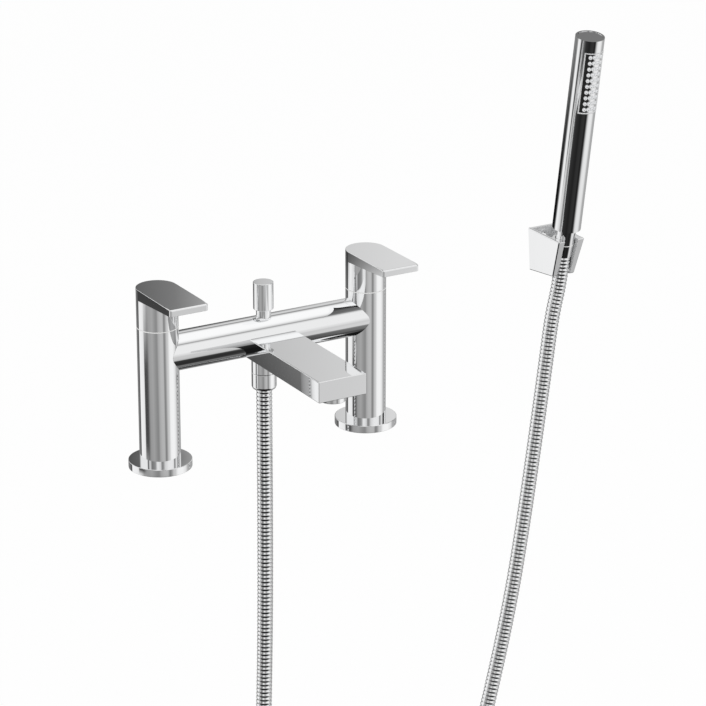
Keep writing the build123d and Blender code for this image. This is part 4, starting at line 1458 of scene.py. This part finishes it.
@dataclass
class WallBracket:
    """The forked wall bracket: a tapered block with a leaning cup, a front slot and an open pocket behind."""

    handset: Handset
    middle: float = 308.9
    wall: float = 87.5
    top: float = 102.0
    foot: float = 65.0
    front_top: float = 41.8
    front_foot: float = 53.0
    front_foot_height: float = 69.0
    half_top: float = 12.6
    half_foot: float = 10.4
    side_wall: float = 2.2
    back_wall: float = 3.0
    cup_outer: float = 10.4
    slot_width: float = 13.0
    edge: float = 0.9
    screw_heights: tuple[float, ...] = (95.5, 71.5)
    screw_hole: float = 4.4
    boss: float = 8.6
    boss_height: float = 1.6
    boss_start: float = 0.05
    cup_bore: Profile = ((0, 0), (8.8, 0), (8.05, -13.8), (7.0, -25.4), (7.0, -62.0), (0, -62.0))
    cup_low: float = -80.0
    cup_high: float = 20.0
    overrun: float = 2.0
    hole_overrun: float = 1.0
    hole_sides: int = 48
    sharp: float = math.radians(30.0)

    def half(self, height: float) -> float:
        """Half the block's width at a height."""
        share = (self.top - height) / (self.top - self.foot)
        return self.half_top + (self.half_foot - self.half_top) * share

    def axis_y(self, height: float) -> float:
        """Where the handset's axis stands at a height."""
        _, seat_y, seat_z = self.handset.foot
        return seat_y - (height - seat_z) * math.tan(math.radians(self.handset.lean))

    def prism(self, levels: Sequence[tuple[float, float, float, float]], slot: int) -> Form:
        """A four-sided form between two levels.

        Args:
            levels: Height, half width, front and back of each level.
            slot: Which of the bracket's finishes it wears.

        Returns:
            The form.
        """
        form = Form()
        loops = []
        for height, half, front, back in levels:
            loops.append(form.loop(
                ((self.middle + across) * MM, depth * MM, height * MM)
                for across, depth in ((-half, front), (half, front), (half, back), (-half, back))))
        form.skin(*loops, slot=slot)
        form.face(*loops[0], slot=slot)
        form.face(*loops[1], slot=slot)
        return form

    def round_tool(self, name: str, diameter: float, start: float, end: float, height: float,
                   slot: int) -> bpy.types.Object:
        """A round form square to the wall, for a screw hole or its boss.

        Args:
            name: Its name.
            diameter: Its diameter.
            start: How far in front of the wall's plane it starts.
            end: How far in front of the wall's plane it ends.
            height: Its height.
            slot: Which of the bracket's finishes it wears.

        Returns:
            The new object.
        """
        centre = Matrix.Translation((self.middle * MM, self.wall * MM, height * MM))
        place = centre @ Matrix.Rotation(math.pi / 2, 4, "X")
        radius = diameter / 2
        form = turned_form(((0, start, 0), (radius, start, 0), (radius, end, 0), (0, end, 0)), place,
                           self.hole_sides, slot)
        return form.piece(name, Slot.CHROME, CHROME, CASTING)

    def block(self) -> bpy.types.Object:
        """The tapered block with its rounded edges.

        Returns:
            The new object.
        """
        form = Form()
        outline = ((self.wall, self.foot), (self.wall, self.top), (self.front_top, self.top),
                   (self.front_foot, self.front_foot_height))
        left, right = (
            form.loop(((self.middle + side * self.half(z)) * MM, y * MM, z * MM) for y, z in outline)
            for side in (-1, 1))
        form.skin(left, right)
        for row in (left, right):
            form.face(*row)
            form.soften(row[1:], self.edge * MM, closed=False)
            form.soften([row[-1], row[0]], self.edge * MM, closed=False)
        for start, end in list(zip(left, right))[2:]:
            form.soften([start, end], self.edge * MM, closed=False)
        return form.piece("wall_bracket", Slot.CHROME, CHROME, CASTING)

    def pocket(self) -> bpy.types.Object:
        """What is taken out behind the cup, with the cup's round wall left standing.

        Returns:
            The new object.
        """
        levels = [(height, self.half(height) - self.side_wall, self.axis_y(height) + self.cup_outer / 2,
                   self.wall - self.back_wall) for height in self.tool_heights]
        pocket = self.prism(levels, 1).piece("pocket", Slot.CHROME, CHROME, CASTING)
        profile = ((0, self.cup_low, 0), (self.cup_outer, self.cup_low, 0),
                   (self.cup_outer, self.cup_high, 0), (0, self.cup_high, 0))
        cup = turned_form(profile, self.handset.place, SMALL_SIDES, 1)
        self.carve(pocket, cup.piece("cup", Slot.CHROME, CHROME, CASTING))
        return pocket

    @property
    def tool_heights(self) -> tuple[float, float]:
        """The heights between which the cuts run."""
        return self.top + self.overrun, self.foot - self.overrun

    def build(self) -> None:
        """Builds the bracket: a block, less the pocket, the cup's bore, the slot and the holes."""
        body = self.block()
        self.carve(body, self.pocket())
        face = self.back_wall + self.boss_height
        for height in self.screw_heights:
            boss = self.round_tool("boss", self.boss, self.boss_start, face, height, 1)
            self.carve(body, boss, "UNION")
        bore = turned_form([(radius, z, 0) for radius, z in self.cup_bore], self.handset.place, SMALL_SIDES)
        self.carve(body, bore.piece("bore", Slot.CHROME, CHROME, CASTING))
        levels = [(height, self.slot_width / 2, 0.0, self.axis_y(height)) for height in self.tool_heights]
        self.carve(body, self.prism(levels, 1).piece("slot", Slot.CHROME, CHROME, CASTING))
        start, end = -self.hole_overrun, face + self.hole_overrun
        for height in self.screw_heights:
            self.carve(body, self.round_tool("hole", self.screw_hole, start, end, height, 0))
        body.data.set_sharp_from_angle(angle=self.sharp)
        body.modifiers.new("flat_faces", "WEIGHTED_NORMAL").keep_sharp = True
        fit(body, Body.MIXER, "bracket")
        log.info("wall bracket")

    def carve(self, body: bpy.types.Object, tool: bpy.types.Object, way: str = "DIFFERENCE") -> None:
        """Cuts one form out of another, or joins them, and drops the tool.

        Args:
            body: The form that stays.
            tool: The form that is used up.
            way: The kind of operation.
        """
        tool.modifiers.clear()
        cut = body.modifiers.new("cut", "BOOLEAN")
        cut.operation = way
        cut.object = tool
        cut.solver = "EXACT"
        cut.material_mode = "TRANSFER"
        done = worked_mesh(body)
        body.modifiers.clear()
        body.data = done
        bpy.data.objects.remove(tool)


def dress_nodes() -> None:
    """Gives every node that is kept its finish."""
    for part in frame["record"]["subparts"]:
        node = NODES[part["node"]]
        node.data.materials.clear()
        node.data.materials.append(SLOT_FINISH[Slot(part["material_slot"])])


def main() -> None:
    """Builds the studio, then every sub-assembly in order."""
    logging.basicConfig(level=logging.INFO, format="%(name)s: %(message)s")
    Studio().build()
    dress_nodes()
    handset = Handset()
    for part in (Hose(), Column(Side.HOT), Column(Side.COLD), Spout(), Diverter(), ReturnSpring(), HoseNut(),
                 handset, WallBracket(handset)):
        part.build()


if __name__ == "__main__":
    main()
